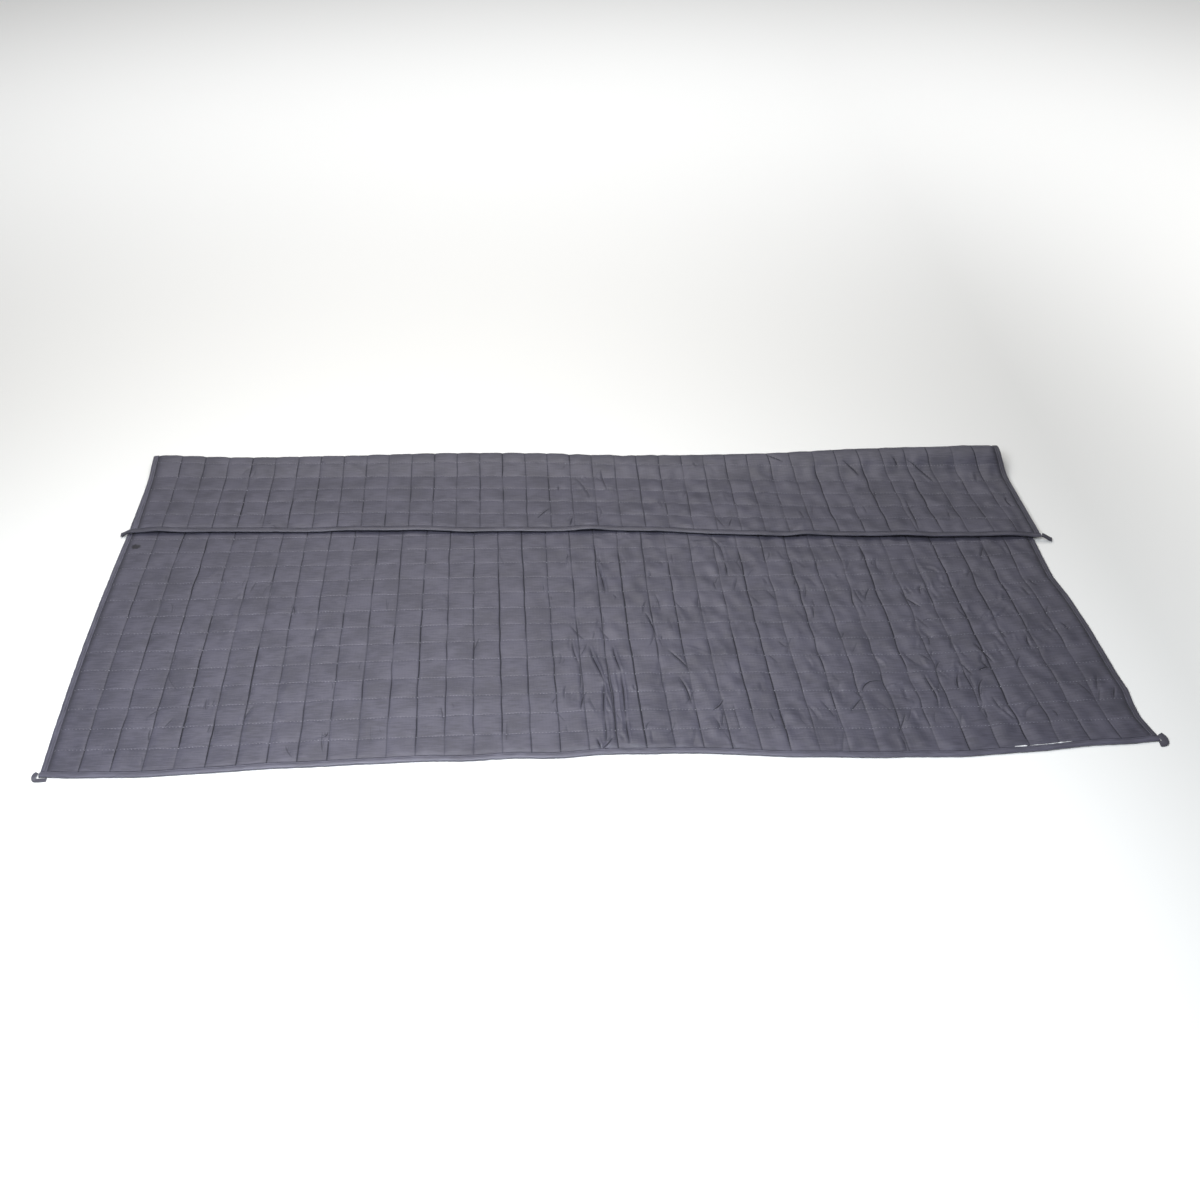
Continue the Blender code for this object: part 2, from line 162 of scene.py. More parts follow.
@dataclass(frozen=True)
class Lie:
    """The cloth's middle surface as it lies, with its driving sizes."""

    cell: float = 0.0534            # quilted pocket, square
    columns: int = 37
    rows: int = 25
    cloth: float = 0.0060           # cloth with its filling, beside a stitch line
    layer_gap: float = 0.0025       # air between the two layers
    fold_roundness: float = 0.8     # depth of the fold's bulge over its half height
    fold_ease: float = 1.8          # cells over which the folded layer comes down from the crest
    lower_shown: float = 13.5       # row where the folded layer hides the lower one
    middle_u: float = 18.6039       # origin, in cells from column 0
    middle_v: float = 9.2182        # origin, in cells from row 0
    wander: float = 0.009           # how far quilting lines stray sideways, in cells
    row_wander: float = 0.0063      # how far they stray to the front or back
    free_from: float = 1.5          # cells from every edge where they stray so far
    kink: float = 0.020             # how far they stray more at the crumpled right
    kink_from: float = 22.0         # column where that begins
    kink_over: float = 8.0          # columns over which it grows
    edge_wave_reach: float = 2.8    # columns over which the right edge's waves die out
    hem_wander: float = 0.032       # how far the two hems stray, in cells
    lift_rows: float = 2.2          # rows over which a lifted hem comes down
    stations: Array = field(default_factory=lambda: np.array([row.u for row in SECTIONS], dtype=float))

    def along(self, column: str, u: Array) -> Array:
        """Value of a named column of SECTIONS at u, on a cubic curve through the sections.

        Args:
            column: name of the column.
            u: column lines.

        Returns:
            The values at u.
        """
        values = np.array([getattr(row, column) for row in SECTIONS], dtype=float)
        slopes = np.gradient(values, self.stations)
        k = np.clip(np.searchsorted(self.stations, u, side="right") - 1, 0, len(self.stations) - 2)
        width = self.stations[k + 1] - self.stations[k]
        t = (u - self.stations[k]) / width
        return cubic(t, values[k], values[k + 1], width * slopes[k], width * slopes[k + 1])

    def fold_start(self, u: Array) -> Array:
        """Row where the lower layer leaves the floor: the crest's row less half the bulge's length.

        Args:
            u: column lines.

        Returns:
            The rows.
        """
        rise = (self.along("fold_high", u) - self.cloth) / 2.0
        depth = self.fold_roundness * rise
        return self.along("fold_row", u) - math.pi * np.sqrt((rise ** 2 + depth ** 2) / 2.0) / self.cell

    def profile(self, u: Array, v: Array) -> tuple[Array, Array]:
        """Side view of each column.

        The lower layer is a parabola in Y on the floor, the fold is half an ellipse standing on
        it, and the folded layer comes down from the crest on a smooth step to its own height.
        Its hem stands off a little more, in a bell shape for each of HEM_LIFTS.

        Args:
            u: column lines.
            v: row lines, of the same shape.

        Returns:
            Y in cells from row 0's usual place, and Z in metres.
        """
        hem, row1, row12 = (self.along(name, u) for name in ("hem", "row1", "row12"))
        fold, high, crest = (self.along(name, u) for name in ("fold", "fold_high", "fold_row"))
        start = self.fold_start(u)
        rise = (high - self.cloth) / 2.0
        depth = self.fold_roundness * rise / self.cell

        t = (v - 1.0) / (12.0 - 1.0)
        y = row1 + (row12 - row1) * t + 4.0 * self.along("bulge", u) * t * (1.0 - t)
        y = np.where(v < 1.0, hem + (row1 - hem) * v, y)
        y = np.where(v > 12.0, row12 + (fold - row12) * (v - 12.0) / (start - 12.0), y)
        z = np.full_like(y, self.cloth / 2.0)

        angle = math.pi * ((v - start) / (crest - start) - 0.5)
        in_fold = (v > start) & (v <= crest)
        y = np.where(in_fold, fold + depth * np.cos(angle), y)
        z = np.where(in_fold, high / 2.0 + rise * np.sin(angle), z)

        over = v > crest
        share = (v - crest) / (self.rows - crest)
        y = np.where(over, fold + (self.along("far_hem", u) - fold) * share, y)
        flap = self.cloth * 1.5 + self.layer_gap
        lift = high - self.cloth / 2.0 - flap
        z = np.where(over, flap + lift * (1.0 - ease((v - crest) / self.fold_ease)), z)
        near_hem = ease((v - self.rows + self.lift_rows) / self.lift_rows)
        for middle, reach, more in HEM_LIFTS:
            z = z + more * MM * np.exp(-((u - middle) / reach) ** 2) * near_hem
        return y, z

    def free(self, u: Array, v: Array) -> Array:
        """Share of its full straying that a quilting line has: 0 on an edge, 1 well inside."""
        across = ease(np.minimum(u, self.columns - u) / self.free_from)
        return across * ease(np.minimum(v, self.rows - v) / self.free_from)

    def shift(self, u: Array, v: Array) -> Array:
        """Sideways shift of the cloth.

        It changes evenly from the front hem to the folded layer, with half a sine wave on top,
        then to the fold and on to the far hem.  Straying lines, more of them at the crumpled
        right, and the waves of its edge are added.

        Args:
            u: column lines.
            v: row lines, of the same shape.

        Returns:
            Shift to the right, in cells.
        """
        hem, bow, middle = (self.along(name, u) for name in ("hem_dx", "bow_dx", "mid_dx"))
        fold, far, crest = (self.along(name, u) for name in ("fold_dx", "far_dx", "fold_row"))
        low = np.clip(v / self.lower_shown, 0.0, 1.0)
        up = np.clip((v - self.lower_shown) / (crest - self.lower_shown), 0.0, 1.0)
        back = (v - crest) / (self.rows - crest)
        shift = hem * (1.0 - low) + middle * low + bow * np.sin(math.pi * low) + (fold - middle) * up
        shift = np.where(v > crest, fold * (1.0 - back) + far * back, shift)

        free = self.free(u, v)
        crumpled = ease((u - self.kink_from) / self.kink_over)
        shift = shift + self.wander * free * waves(u, v, 11, 0.25, 0.8)
        shift = shift + self.kink * free * crumpled * waves(1.1 * u, v, 13, 0.3, 0.75)
        reach = self.edge_wave_reach
        at_edge = ease((u - self.columns + reach) / reach)
        return shift + np.interp(v, *zip(*EDGE_WAVES)) * MM / self.cell * at_edge

    def middle(self, u: Array, v: Array) -> Array:
        """Middle of the cloth's thickness: the profile with the sideways shift and straying lines.

        Args:
            u: column lines.
            v: row lines, of the same shape.

        Returns:
            Points, with X, Y and Z on the last axis.
        """
        y, z = self.profile(u, v)
        y = y + self.row_wander * self.free(u, v) * waves(u, v, 12, 0.2, 0.7)
        at_hem = ease(1.0 - v) + ease(v - self.rows + 1.0)
        off_corner = ease(np.minimum(u, self.columns - u))
        # half the row, rounded down, is one number along a hem, so each hem gets its own waves
        y = y + self.hem_wander * at_hem * off_corner * waves(u, v // 2, 14, 0.12, 0.45)
        x = u + self.shift(u, v) - self.middle_u
        return np.stack([x * self.cell, (y - self.middle_v) * self.cell, z], axis=-1)

    def outward(self, u: Array, v: Array) -> Array:
        """Unit vector across the cloth, from its inner to its outer face.

        It is the middle surface's direction along v, turned a quarter in the YZ plane.

        Args:
            u: column lines.
            v: row lines.

        Returns:
            Unit vectors, with X always 0.
        """
        step = 0.02
        after = self.middle(u, np.minimum(v + step, float(self.rows)))
        run = after - self.middle(u, np.maximum(v - step, 0.0))
        size = np.hypot(run[..., 1], run[..., 2])
        return np.stack([np.zeros_like(size), run[..., 2] / size, -run[..., 1] / size], axis=-1)


# ---------------------------------------------------------------- quilting and creases
class Crease(NamedTuple):
    """Soft trough in the cloth from one point to another; a minus depth makes a ridge."""

    u0: float
    v0: float
    u1: float
    v1: float
    sway: float         # how far its middle bows sideways, in cells
    width: float        # half width, mm
    depth: float        # mm


CREASES = tuple(Crease(*row) for row in (
    # the bunch gathered at the front hem, columns 17 to 20
    (17.75, 5.90, 17.95, 4.60, -0.07, 3.0, 1.2),
    (17.95, 4.60, 17.90, 3.20, 0.02, 3.0, 1.1),
    (18.05, 3.05, 17.85, 2.10, -0.01, 2.5, 1.3),
    (18.40, 5.60, 18.80, 3.55, -0.02, 3.2, 1.7),
    (18.80, 3.55, 18.65, 1.60, -0.03, 3.2, 1.9),
    (18.65, 1.60, 18.60, 0.30, 0.02, 3.5, 1.2),
    (19.10, 10.50, 19.25, 8.95, 0.03, 3.0, 1.6),
    (19.30, 5.60, 19.50, 4.05, -0.04, 3.2, 1.8),
    (19.50, 4.05, 19.40, 1.55, 0.01, 3.2, 2.0),
    (19.40, 1.55, 19.40, 0.20, 0.00, 3.2, 1.6),
    (19.05, 4.40, 18.95, 0.40, 0.05, 2.6, 1.4),
    (18.85, 0.60, 18.45, 0.00, 0.03, 3.6, 2.4),
    (18.30, 0.55, 18.40, 0.00, -0.01, 2.6, 1.6),
    (18.95, 12.20, 19.25, 8.75, 0.02, 4.0, 0.9),
    (18.62, 5.20, 18.95, 2.20, -0.02, 4.5, -1.0),
    (19.25, 4.60, 19.22, 0.60, 0.02, 4.0, -1.1),
    # columns 20 to 25
    (20.75, 7.60, 21.05, 6.15, 0.05, 3.2, 1.6),
    (21.25, 8.80, 21.40, 7.75, 0.03, 3.5, 0.9),
    (21.40, 5.30, 22.05, 4.15, 0.03, 2.6, 1.6),
    (21.60, 3.80, 21.90, 2.30, 0.05, 3.4, 1.5),
    (23.10, 2.60, 22.60, 1.95, 0.05, 3.0, 1.5),
    (23.40, 2.30, 23.40, 0.85, 0.00, 3.4, 0.9),
    (22.15, 1.40, 22.75, 1.65, -0.02, 3.0, -1.1),
    (22.00, 5.60, 22.95, 5.00, 0.06, 3.0, -0.9),
    (23.75, 12.90, 24.30, 10.90, 0.24, 4.0, 2.1),
    (24.30, 10.90, 24.35, 10.00, 0.02, 3.0, 1.6),
    # the crumpled part at the right
    (27.45, 1.85, 28.05, 2.60, 0.02, 3.0, 1.2),
    (28.15, 2.95, 29.00, 3.55, 0.22, 3.5, 1.7),
    (28.95, 3.15, 30.10, 3.40, 0.07, 3.0, -2.0),
    (29.15, 2.60, 29.85, 2.40, 0.06, 4.5, 0.9),
    (30.50, 3.85, 30.55, 2.00, 0.07, 3.2, 1.5),
    (31.00, 8.45, 31.40, 7.80, 0.01, 3.2, 1.5),
    (31.25, 6.90, 31.85, 6.85, 0.13, 3.0, -1.0),
    (31.30, 3.90, 32.15, 4.25, 0.06, 3.2, -1.3),
    (31.75, 3.85, 31.50, 2.90, -0.03, 3.0, 1.7),
    (32.05, 10.55, 32.25, 8.20, -0.09, 5.5, 1.7),
    (32.05, 10.30, 32.65, 9.90, 0.19, 6.0, 1.6),
    (32.20, 9.65, 31.90, 7.75, -0.04, 5.0, 1.4),
    (32.10, 5.55, 33.00, 5.70, 0.07, 3.2, -1.2),
    (32.85, 5.45, 33.15, 4.35, 0.01, 3.6, 1.9),
    (32.55, 3.95, 33.00, 4.10, 0.06, 3.6, 1.8),
    (32.60, 3.50, 32.15, 2.15, -0.17, 3.6, 1.8),
    (33.25, 6.75, 34.55, 7.85, -0.06, 4.5, -1.7),
    (33.45, 6.45, 34.75, 7.55, -0.06, 5.0, 1.3),
    (34.55, 7.85, 34.85, 8.50, 0.03, 4.0, -1.3),
    (33.75, 6.05, 33.90, 5.15, -0.03, 6.0, 1.5),
    (34.85, 5.70, 34.75, 5.05, -0.05, 3.5, 1.5),
    (33.30, 1.25, 34.10, 1.90, 0.22, 4.5, 1.4),
    (36.80, 2.65, 36.60, 2.00, -0.01, 3.0, 1.3),
    (36.30, 2.60, 36.10, 1.90, -0.01, 4.0, 0.9),
    # the left side
    (4.55, 3.40, 4.62, 2.80, -0.02, 2.4, 0.8),
    (4.86, 3.30, 4.80, 2.88, -0.02, 2.2, 0.6),
    (8.80, 1.15, 8.95, 1.40, -0.03, 3.0, 1.3),
    (8.45, 0.95, 8.80, 1.10, 0.02, 3.2, -0.9),
    (6.95, 8.55, 7.15, 7.90, 0.01, 2.8, 1.1),
    (2.75, 2.55, 3.15, 2.95, 0.03, 3.0, 0.8),
    (3.35, 1.90, 3.60, 2.45, 0.03, 3.0, 0.8),
    (3.95, 2.05, 4.10, 2.50, 0.02, 3.0, 0.7),
    # the folded layer
    (27.00, 19.30, 27.65, 19.81, 0.01, 3.5, 1.8),
    (30.25, 19.71, 30.75, 20.71, -0.09, 3.5, 1.8),
    (33.00, 19.66, 33.80, 21.02, -0.18, 3.5, 2.1),
    (16.40, 24.44, 17.00, 23.54, -0.07, 3.2, 1.5),
    (17.80, 24.90, 17.90, 24.29, 0.00, 3.0, 1.6),
    (24.50, 24.75, 24.70, 24.14, -0.02, 3.0, 1.2),
    (19.35, 20.36, 19.55, 22.02, 0.05, 3.5, 1.0),
    (32.45, 19.50, 32.55, 20.11, -0.06, 3.0, 1.4),
    (32.25, 22.53, 32.10, 24.90, -0.02, 3.0, 1.3),
    (36.60, 22.23, 36.65, 23.08, 0.14, 3.2, 1.5),
    (5.10, 24.49, 5.75, 25.00, 0.11, 3.2, 0.8),
    (5.35, 23.74, 6.05, 23.28, -0.15, 3.2, -0.8),
    (18.20, 21.07, 18.75, 22.73, -0.10, 4.0, 1.0),
    (8.05, 20.01, 9.05, 20.81, 0.01, 4.0, -1.0),
))


class Strewn(NamedTuple):
    """Kind of small wrinkle that is strewn beside the column seams."""

    below: float        # end of its share of a draw from 0 to 1; the kinds' shares follow each other
    first: int          # first column seam that it can lie beside
    last: int           # first one that it can't
    beside: float       # how far its middle can lie from a seam, in cells
    longest: float      # cells
    lean_deg: float     # how far it can lean over to either side
    deep: float         # depth against the other kinds


STREWN = (
    Strewn(0.60, 17, 37, 0.42, 1.0, 30.0, 1.0),     # over the crumpled right half
    Strewn(0.83, 1, 37, 0.42, 1.0, 30.0, 1.0),      # over the whole cloth
    Strewn(1.00, 2, 7, 0.16, 0.6, 12.0, 0.7),       # small and close to the seams at the left
)

# stretches of quilted columns that are drawn in more than the rest: the column, the first and the
# last row, and what is added to the usual depth of 1
STRONG_COLUMNS = (
    (2, 0.0, 3.0, 0.5), (3, 9.0, 13.0, 0.5), (4, 0.8, 6.0, 0.9), (5, 0.0, 3.0, 0.5),
    (6, 3.0, 6.5, 0.8), (12, 0.0, 9.0, 0.4), (15, 3.0, 11.0, 0.6), (16, 6.0, 12.5, 0.5),
    (19, 5.0, 12.5, 0.4), (20, 0.0, 12.0, 1.0), (22, 4.0, 11.0, 0.5), (24, 1.5, 6.5, 0.9),
    (25, 0.0, 12.0, 0.9), (27, 4.0, 11.0, 0.4), (30, 4.0, 12.0, 0.8), (33, 0.0, 12.0, 1.0),
    (34, 7.0, 12.0, 0.6), (35, 5.0, 12.0, 0.4), (4, 22.0, 24.6, 0.7), (6, 22.5, 24.8, 0.8),
    (29, 20.0, 24.5, 0.7), (31, 20.0, 24.8, 0.6), (33, 20.5, 24.8, 0.6),
)


@dataclass(frozen=True)
class Quilting:
    """Height of the quilted face over the plain cloth: pockets, seams, creases."""

    lie: Lie
    plump: float = 1.05 * MM        # rise of a pocket's middle over its seams
    fullness: tuple[float, float] = (0.8, 1.2)      # range of that rise from pocket to pocket
    across_power: int = 4           # exponent of a pocket's section across the columns
    along_power: int = 3            # exponent of its section along them
    seam_pull: tuple[float, float] = (0.25, 1.0)    # range of a column seam's depth
    strong_over: float = 0.8        # rows over which a strongly drawn stretch begins and ends
    column_sink: float = 0.9 * MM   # extra depth of a column seam
    row_sink: float = 0.35 * MM     # extra depth of a row seam
    seam_reach: float = 0.7 * MM    # how fast a seam's groove opens
    row_dip: float = 0.28           # share of the pocket's rise that is missing on a row seam
    folded_dip: float = 0.47        # further share on the slacker folded layer
    swell: float = 0.7 * MM         # broad unevenness of the lying cloth
    crumple: float = 0.75 * MM      # closer unevenness
    calm: float = 0.30              # share of both unevennesses that the smooth left has
    worn_from: float = 15.0         # column where they begin to grow
    worn_over: float = 8.0          # columns over which they grow
    crest_flat: float = 0.75        # share of the relief that the fold's crest lacks at the right
    crest_from: float = 20.0        # column where it begins to flatten
    crest_over: float = 5.0         # columns over which it flattens
    crest_rows: float = 0.5         # rows to either side of the crest that are flattened
    crease_gain: float = 1.6        # depth of all creases against their table
    crease_narrow: float = 0.72     # width of all creases against their table
    crease_power: float = 1.4       # exponent of a crease's section
    lip: float = 0.45               # height of its lip, as a share of its depth
    lip_place: float = 1.9          # middle of the lip, in half widths of the crease
    lip_width: float = 1.2          # half width of the lip, in the same unit
    line_reach: float = 3.2         # how far from a crease's middle its line is followed, mm
    edge_sink: float = 1.4 * MM     # trough beside the binding at the two side edges
    edge_reach: float = 6.0 * MM
    hem_sink: float = 0.25 * MM     # how far the cloth is drawn in where the two hems' binding starts
    hem_rise: float = 0.16          # rows over which it comes back up
    deepest: float = 0.42           # greatest depth, as a share of the cloth
    covered: float = 1.9 * MM       # greatest rise where the folded layer lies over it
    covered_more: float = 0.030     # how far in front of the folded hem that begins
    line_depth: float = 1.5         # depth from which a crease's line is at its sharpest, mm
    line_soft: float = 5.2          # half width of a crease whose line is all but lost, mm
    line_over: float = 1.6          # how much narrower one is whose line is at its sharpest, mm
    line_least: float = 0.15        # least that the difference counts for, mm
    scatter: int = 360              # small wrinkles strewn beside the seams
    small_lower: float = 0.85       # share of them on the lower layer
    lower_rows: tuple[float, float] = (0.3, 11.5)       # where they lie there
    folded_rows: tuple[float, float] = (19.8, 24.6)     # where they lie on the folded layer
    small_columns: tuple[float, float] = (0.3, 36.7)    # their first and last place across
    shortest: float = 0.3           # cells
    small_depth: tuple[float, float] = (0.3, 0.95)      # mm
    trough_share: float = 0.7       # share of them that are troughs
    ridge: float = -0.8             # height of the others against that
    small_sway: float = 0.06        # cells
    small_width: tuple[float, float] = (2.2, 5.0)       # mm
    deep_from: float = 26.0         # column where they begin to grow deeper
    deep_over: float = 5.0          # columns over which they do
    deep_more: float = 0.5          # how much deeper they are at the right

    def small_wrinkles(self) -> list[Crease]:
        """Short puckers beside the column seams, thickest in the crumpled right half.

        Returns:
            The wrinkles, always the same ones.
        """
        draw = np.random.RandomState(29)
        wrinkles = []
        for _ in range(self.scatter):
            part = draw.uniform()
            kind = next(kind for kind in STREWN if part < kind.below)
            u = draw.randint(kind.first, kind.last) + draw.uniform(-kind.beside, kind.beside)
            u = np.clip(u, *self.small_columns)
            v = draw.uniform(*(self.lower_rows if draw.uniform() < self.small_lower else self.folded_rows))
            length = draw.uniform(self.shortest, kind.longest)
            lean = math.radians(draw.uniform(-1.0, 1.0) * kind.lean_deg)
            du, dv = length / 2.0 * math.sin(lean), length / 2.0 * math.cos(lean)
            depth = draw.uniform(*self.small_depth)
            depth *= kind.deep * (1.0 if draw.uniform() < self.trough_share else self.ridge)
            depth *= 1.0 + self.deep_more * float(ease((u - self.deep_from) / self.deep_over))
            sway, width = draw.uniform(-self.small_sway, self.small_sway), draw.uniform(*self.small_width)
            wrinkles.append(Crease(u - du, v - dv, u + du, v + dv, sway, width, depth))
        return wrinkles

    def beside(self, crease: Crease, u: Array, v: Array) -> tuple[Array, Array]:
        """Place of points along a crease and their distance from its bowed middle line.

        Args:
            crease: the crease.
            u: column lines.
            v: row lines.

        Returns:
            Place from 0 at its start to 1 at its end, and signed distance in mm.
        """
        run_u, run_v = crease.u1 - crease.u0, crease.v1 - crease.v0
        length = math.hypot(run_u, run_v)
        du, dv = u - crease.u0, v - crease.v0
        along = (du * run_u + dv * run_v) / length ** 2
        off = (-du * run_v + dv * run_u) / length - 4.0 * crease.sway * along * (1.0 - along)
        return along, off * (self.lie.cell / MM)

    def crease_height(self, u: Array, v: Array) -> tuple[Array, Array, Array]:
        """Troughs and ridges of all creases, and the sharp line at the bottom of a trough, along which the
        material paints shade.

        Across a crease the height falls as a pointed bell curve with a low lip on one side,
        and along it the depth rises from both ends as the root of a sine.  The deeper and the
        narrower a crease is, the sharper is its line.

        Args:
            u: column lines.
            v: row lines.

        Returns:
            Height in metres, signed distance to the nearest crease's middle in mm, and how
            sharply the cloth is folded there, from 0 to 1.
        """
        height, line_off, line = np.zeros_like(u), np.full_like(u, NO_CREASE), np.zeros_like(u)
        for crease in (*CREASES, *self.small_wrinkles()):
            reach = 3.5 * crease.width * MM / self.lie.cell + abs(crease.sway)
            near = (u > min(crease.u0, crease.u1) - reach) & (u < max(crease.u0, crease.u1) + reach)
            near &= (v > min(crease.v0, crease.v1) - reach) & (v < max(crease.v0, crease.v1) + reach)
            along, off = self.beside(crease, u[near], v[near])
            fade = np.sqrt(np.clip(np.sin(math.pi * np.clip(along, 0.0, 1.0)), 0.0, 1.0))
            s = off / (crease.width * self.crease_narrow)
            bell = np.exp(-np.abs(s) ** self.crease_power)
            lip = self.lip * np.exp(-((s - self.lip_place) / self.lip_width) ** 2)
            height[near] -= crease.depth * self.crease_gain * MM * fade * (bell - lip)
            narrow = max(self.line_soft - crease.width, self.line_least) / self.line_over
            strength = min(max(crease.depth, 0.0) / self.line_depth, 1.0) * min(narrow, 1.0)
            follow = (1.5 * self.line_reach - np.abs(off)) / (0.5 * self.line_reach)
            sharp = strength * fade * ease(follow)
            line_off[near] = np.where(sharp > line[near], off, line_off[near])
            line[near] = np.maximum(sharp, line[near])
        return height, line_off, line

    def seam_depth(self, u: Array, v: Array) -> Array:
        """How strongly the nearest column seam is drawn in, about 1, changing pocket by pocket.

        Args:
            u: column lines.
            v: row lines.

        Returns:
            The depth at each point.
        """
        draw = np.random.RandomState(7).uniform(*self.seam_pull, (self.lie.columns + 1, self.lie.rows + 2))
        column = np.clip(np.round(u).astype(int), 0, self.lie.columns)
        place = np.clip(v - 0.5, 0.0, self.lie.rows)
        row = np.floor(place).astype(int)
        t = ease((place - row - 0.2) / 0.6)
        depth = draw[column, row] * (1.0 - t) + draw[column, row + 1] * t
        for strong, begin, end, extra in STRONG_COLUMNS:
            inside = ease((v - begin) / self.strong_over) * ease((end - v) / self.strong_over)
            depth = depth + np.where(column == strong, extra * inside, 0.0)
        return depth

    def pockets(self, u: Array, v: Array, depth: Array) -> Array:
        """Relief of the filled pockets and the seams between them.

        A pocket rises as 1 less a power of the distance from its middle, less on the rows than
        on the columns, and each seam cuts in as a falling exponential of the distance to it.

        Args:
            u: column lines.
            v: row lines.
            depth: how strongly the nearest column seam is drawn in.

        Returns:
            Height in metres.
        """
        to_column, to_row = np.abs(u - np.round(u)), np.abs(v - np.round(v))
        pocket = np.random.RandomState(3).uniform(*self.fullness, (self.lie.columns + 1, self.lie.rows + 1))
        full = pocket[np.floor(u).astype(int), np.floor(v).astype(int)]
        full = 1.0 + (full - 1.0) * ease(to_column * 5.0) * ease(to_row * 5.0)
        folded = ease((v - self.lie.along("fold_row", u)) / 0.5)
        across = 1.0 - (1.0 - 2.0 * to_column) ** self.across_power
        dip = self.row_dip + self.folded_dip * folded
        down = 1.0 - dip * (1.0 - 2.0 * to_row) ** self.along_power
        height = self.plump * full * across * down
        height = height - self.column_sink * depth * np.exp(-to_column * self.lie.cell / self.seam_reach)
        return height - self.row_sink * np.exp(-to_row * self.lie.cell / self.seam_reach)

    def height(self, u: Array, v: Array) -> tuple[Array, dict[str, Array]]:
        """Relief of the quilted face.

        Broad and close waves and the creases are added to the pockets.  The fold's crest is
        pulled flatter at the right, the cloth is drawn in at its edges, and the rise is held
        down under the folded layer.

        Args:
            u: column lines.
            v: row lines.

        Returns:
            Height in metres, and for the material's painted shade the seam depth, the trough beside the
            binding, and the crease line's distance and sharpness, for each point.
        """
        lie = self.lie
        depth = self.seam_depth(u, v)
        crumpling_and_shaded_binding = self.calm + (1.0 - self.calm) * ease((u - self.worn_from) / self.worn_over)
        height = self.pockets(u, v, depth) + self.swell * crumpling_and_shaded_binding * waves(u, v, 21, 0.05, 0.30)
        height = height + self.crumple * crumpling_and_shaded_binding * waves(1.5 * u, 0.8 * v, 22, 0.5, 1.3, 22)
        at_crest = np.exp(-((v - lie.along("fold_row", u)) / self.crest_rows) ** 2)
        flatter = self.crest_flat * at_crest * ease((u - self.crest_from) / self.crest_over)
        sewn = ease(np.minimum(v, lie.rows - v) / self.hem_rise)
        height = height * (1.0 - flatter) * sewn - self.hem_sink * (1.0 - sewn)
        to_edge = np.minimum(u, lie.columns - u) * lie.cell
        trough = np.exp(-(to_edge / self.edge_reach) ** 2)
        creases, line_off, line = self.crease_height(u, v)
        height = np.maximum(height - self.edge_sink * trough + creases, -self.deepest * lie.cloth)
        marks = {"seam_depth": depth, "trough": trough, "crease_off": line_off, "crease": line}

        hem_y = (lie.along("far_hem", u) - lie.middle_v) * lie.cell
        behind = lie.middle(u, v)[..., 1] > hem_y - self.covered_more
        under = (v < lie.lower_shown + 1.0) & behind
        return np.where(under, np.minimum(height, self.covered), height), marks

    def raised(self, u: Array, v: Array, layer: Layer, relief: Array) -> Array:
        """Points at a height over the plain face.

        Args:
            u: column lines.
            v: row lines.
            layer: face of the cloth.
            relief: height over the plain face; it fades to nothing where the fold's back
                reaches the floor.

        Returns:
            Points on the face.
        """
        if layer is Layer.OUTER:
            start, crest = self.lie.fold_start(u), self.lie.along("fold_row", u)
            relief = relief * ease((v - start) / (0.4 * (crest - start)))
        reach = self.lie.cloth / 2.0 + relief
        return self.lie.middle(u, v) + layer.value * reach[..., None] * self.lie.outward(u, v)

    def face(self, u: Array, v: Array, layer: Layer) -> Array:
        """Point of the quilted face: the plain face raised by its relief."""
        return self.raised(u, v, layer, self.height(u, v)[0])

    def plain_face(self, u: Array, v: Array, layer: Layer) -> Array:
        """Point of the face without its quilting: the middle and half the cloth's thickness."""
        return self.lie.middle(u, v) + layer.value * self.lie.cloth / 2.0 * self.lie.outward(u, v)


# ---------------------------------------------------------------- finishes
def linear(code: str) -> tuple[float, float, float, float]:
    """Linear colour from an sRGB hex value such as 5d5d68.

    Args:
        code: six hex digits.

    Returns:
        Linear red, green and blue, and an alpha of 1.
    """
    parts = [int(code[k:k + 2], 16) / 255.0 for k in (0, 2, 4)]
    light = [p / 12.92 if p <= 0.04045 else ((p + 0.055) / 1.055) ** 2.4 for p in parts]
    return light[0], light[1], light[2], 1.0


def add_node(tree: Tree, kind: str, inputs: dict | None = None, **settings) -> bpy.types.Node:
    """Add a shader node with its settings, values and links.

    Args:
        tree: node tree that takes the node.
        kind: node type, without the leading ShaderNode.
        inputs: socket name or number to a value, or to the output socket that feeds it.
        settings: attributes of the node.

    Returns:
        The node.
    """
    node = tree.nodes.new("ShaderNode" + kind)
    for name, value in settings.items():
        setattr(node, name, value)
    for key, value in (inputs or {}).items():
        if isinstance(value, Socket):
            tree.links.new(value, node.inputs[key])
        else:
            node.inputs[key].default_value = value
    return node


def calc(tree: Tree, operation: str, *values: Socket | float, clamp: bool = False) -> Socket:
    """Result of a Math node on values or sockets, held between 0 and 1 if clamp is set."""
    inputs = dict(enumerate(values))
    return add_node(tree, "Math", inputs, operation=operation, use_clamp=clamp).outputs[0]


def remap(tree: Tree, value: Socket, source: tuple, target: tuple, smooth: bool = False) -> Socket:
    """Take the source range to the target range, on a straight line or a smooth step, held at its ends.

    Args:
        tree: node tree.
        value: number to take over.
        source: first and last number of its range.
        target: what these two become.
        smooth: go over on a smooth step.

    Returns:
        The new number.
    """
    ends = dict(zip(("From Min", "From Max", "To Min", "To Max"), (*source, *target)))
    kind = "SMOOTHSTEP" if smooth else "LINEAR"
    return add_node(tree, "MapRange", {"Value": value, **ends}, interpolation_type=kind).outputs[0]


def mixed(tree: Tree, share: Socket | float, first: Socket | tuple,
          second: Socket | tuple, way: str = "MIX") -> Socket:
    """Colour between two, or one multiplied by the other if way is MULTIPLY."""
    inputs = {0: share, 6: first, 7: second}
    return add_node(tree, "Mix", inputs, data_type="RGBA", blend_type=way).outputs[2]


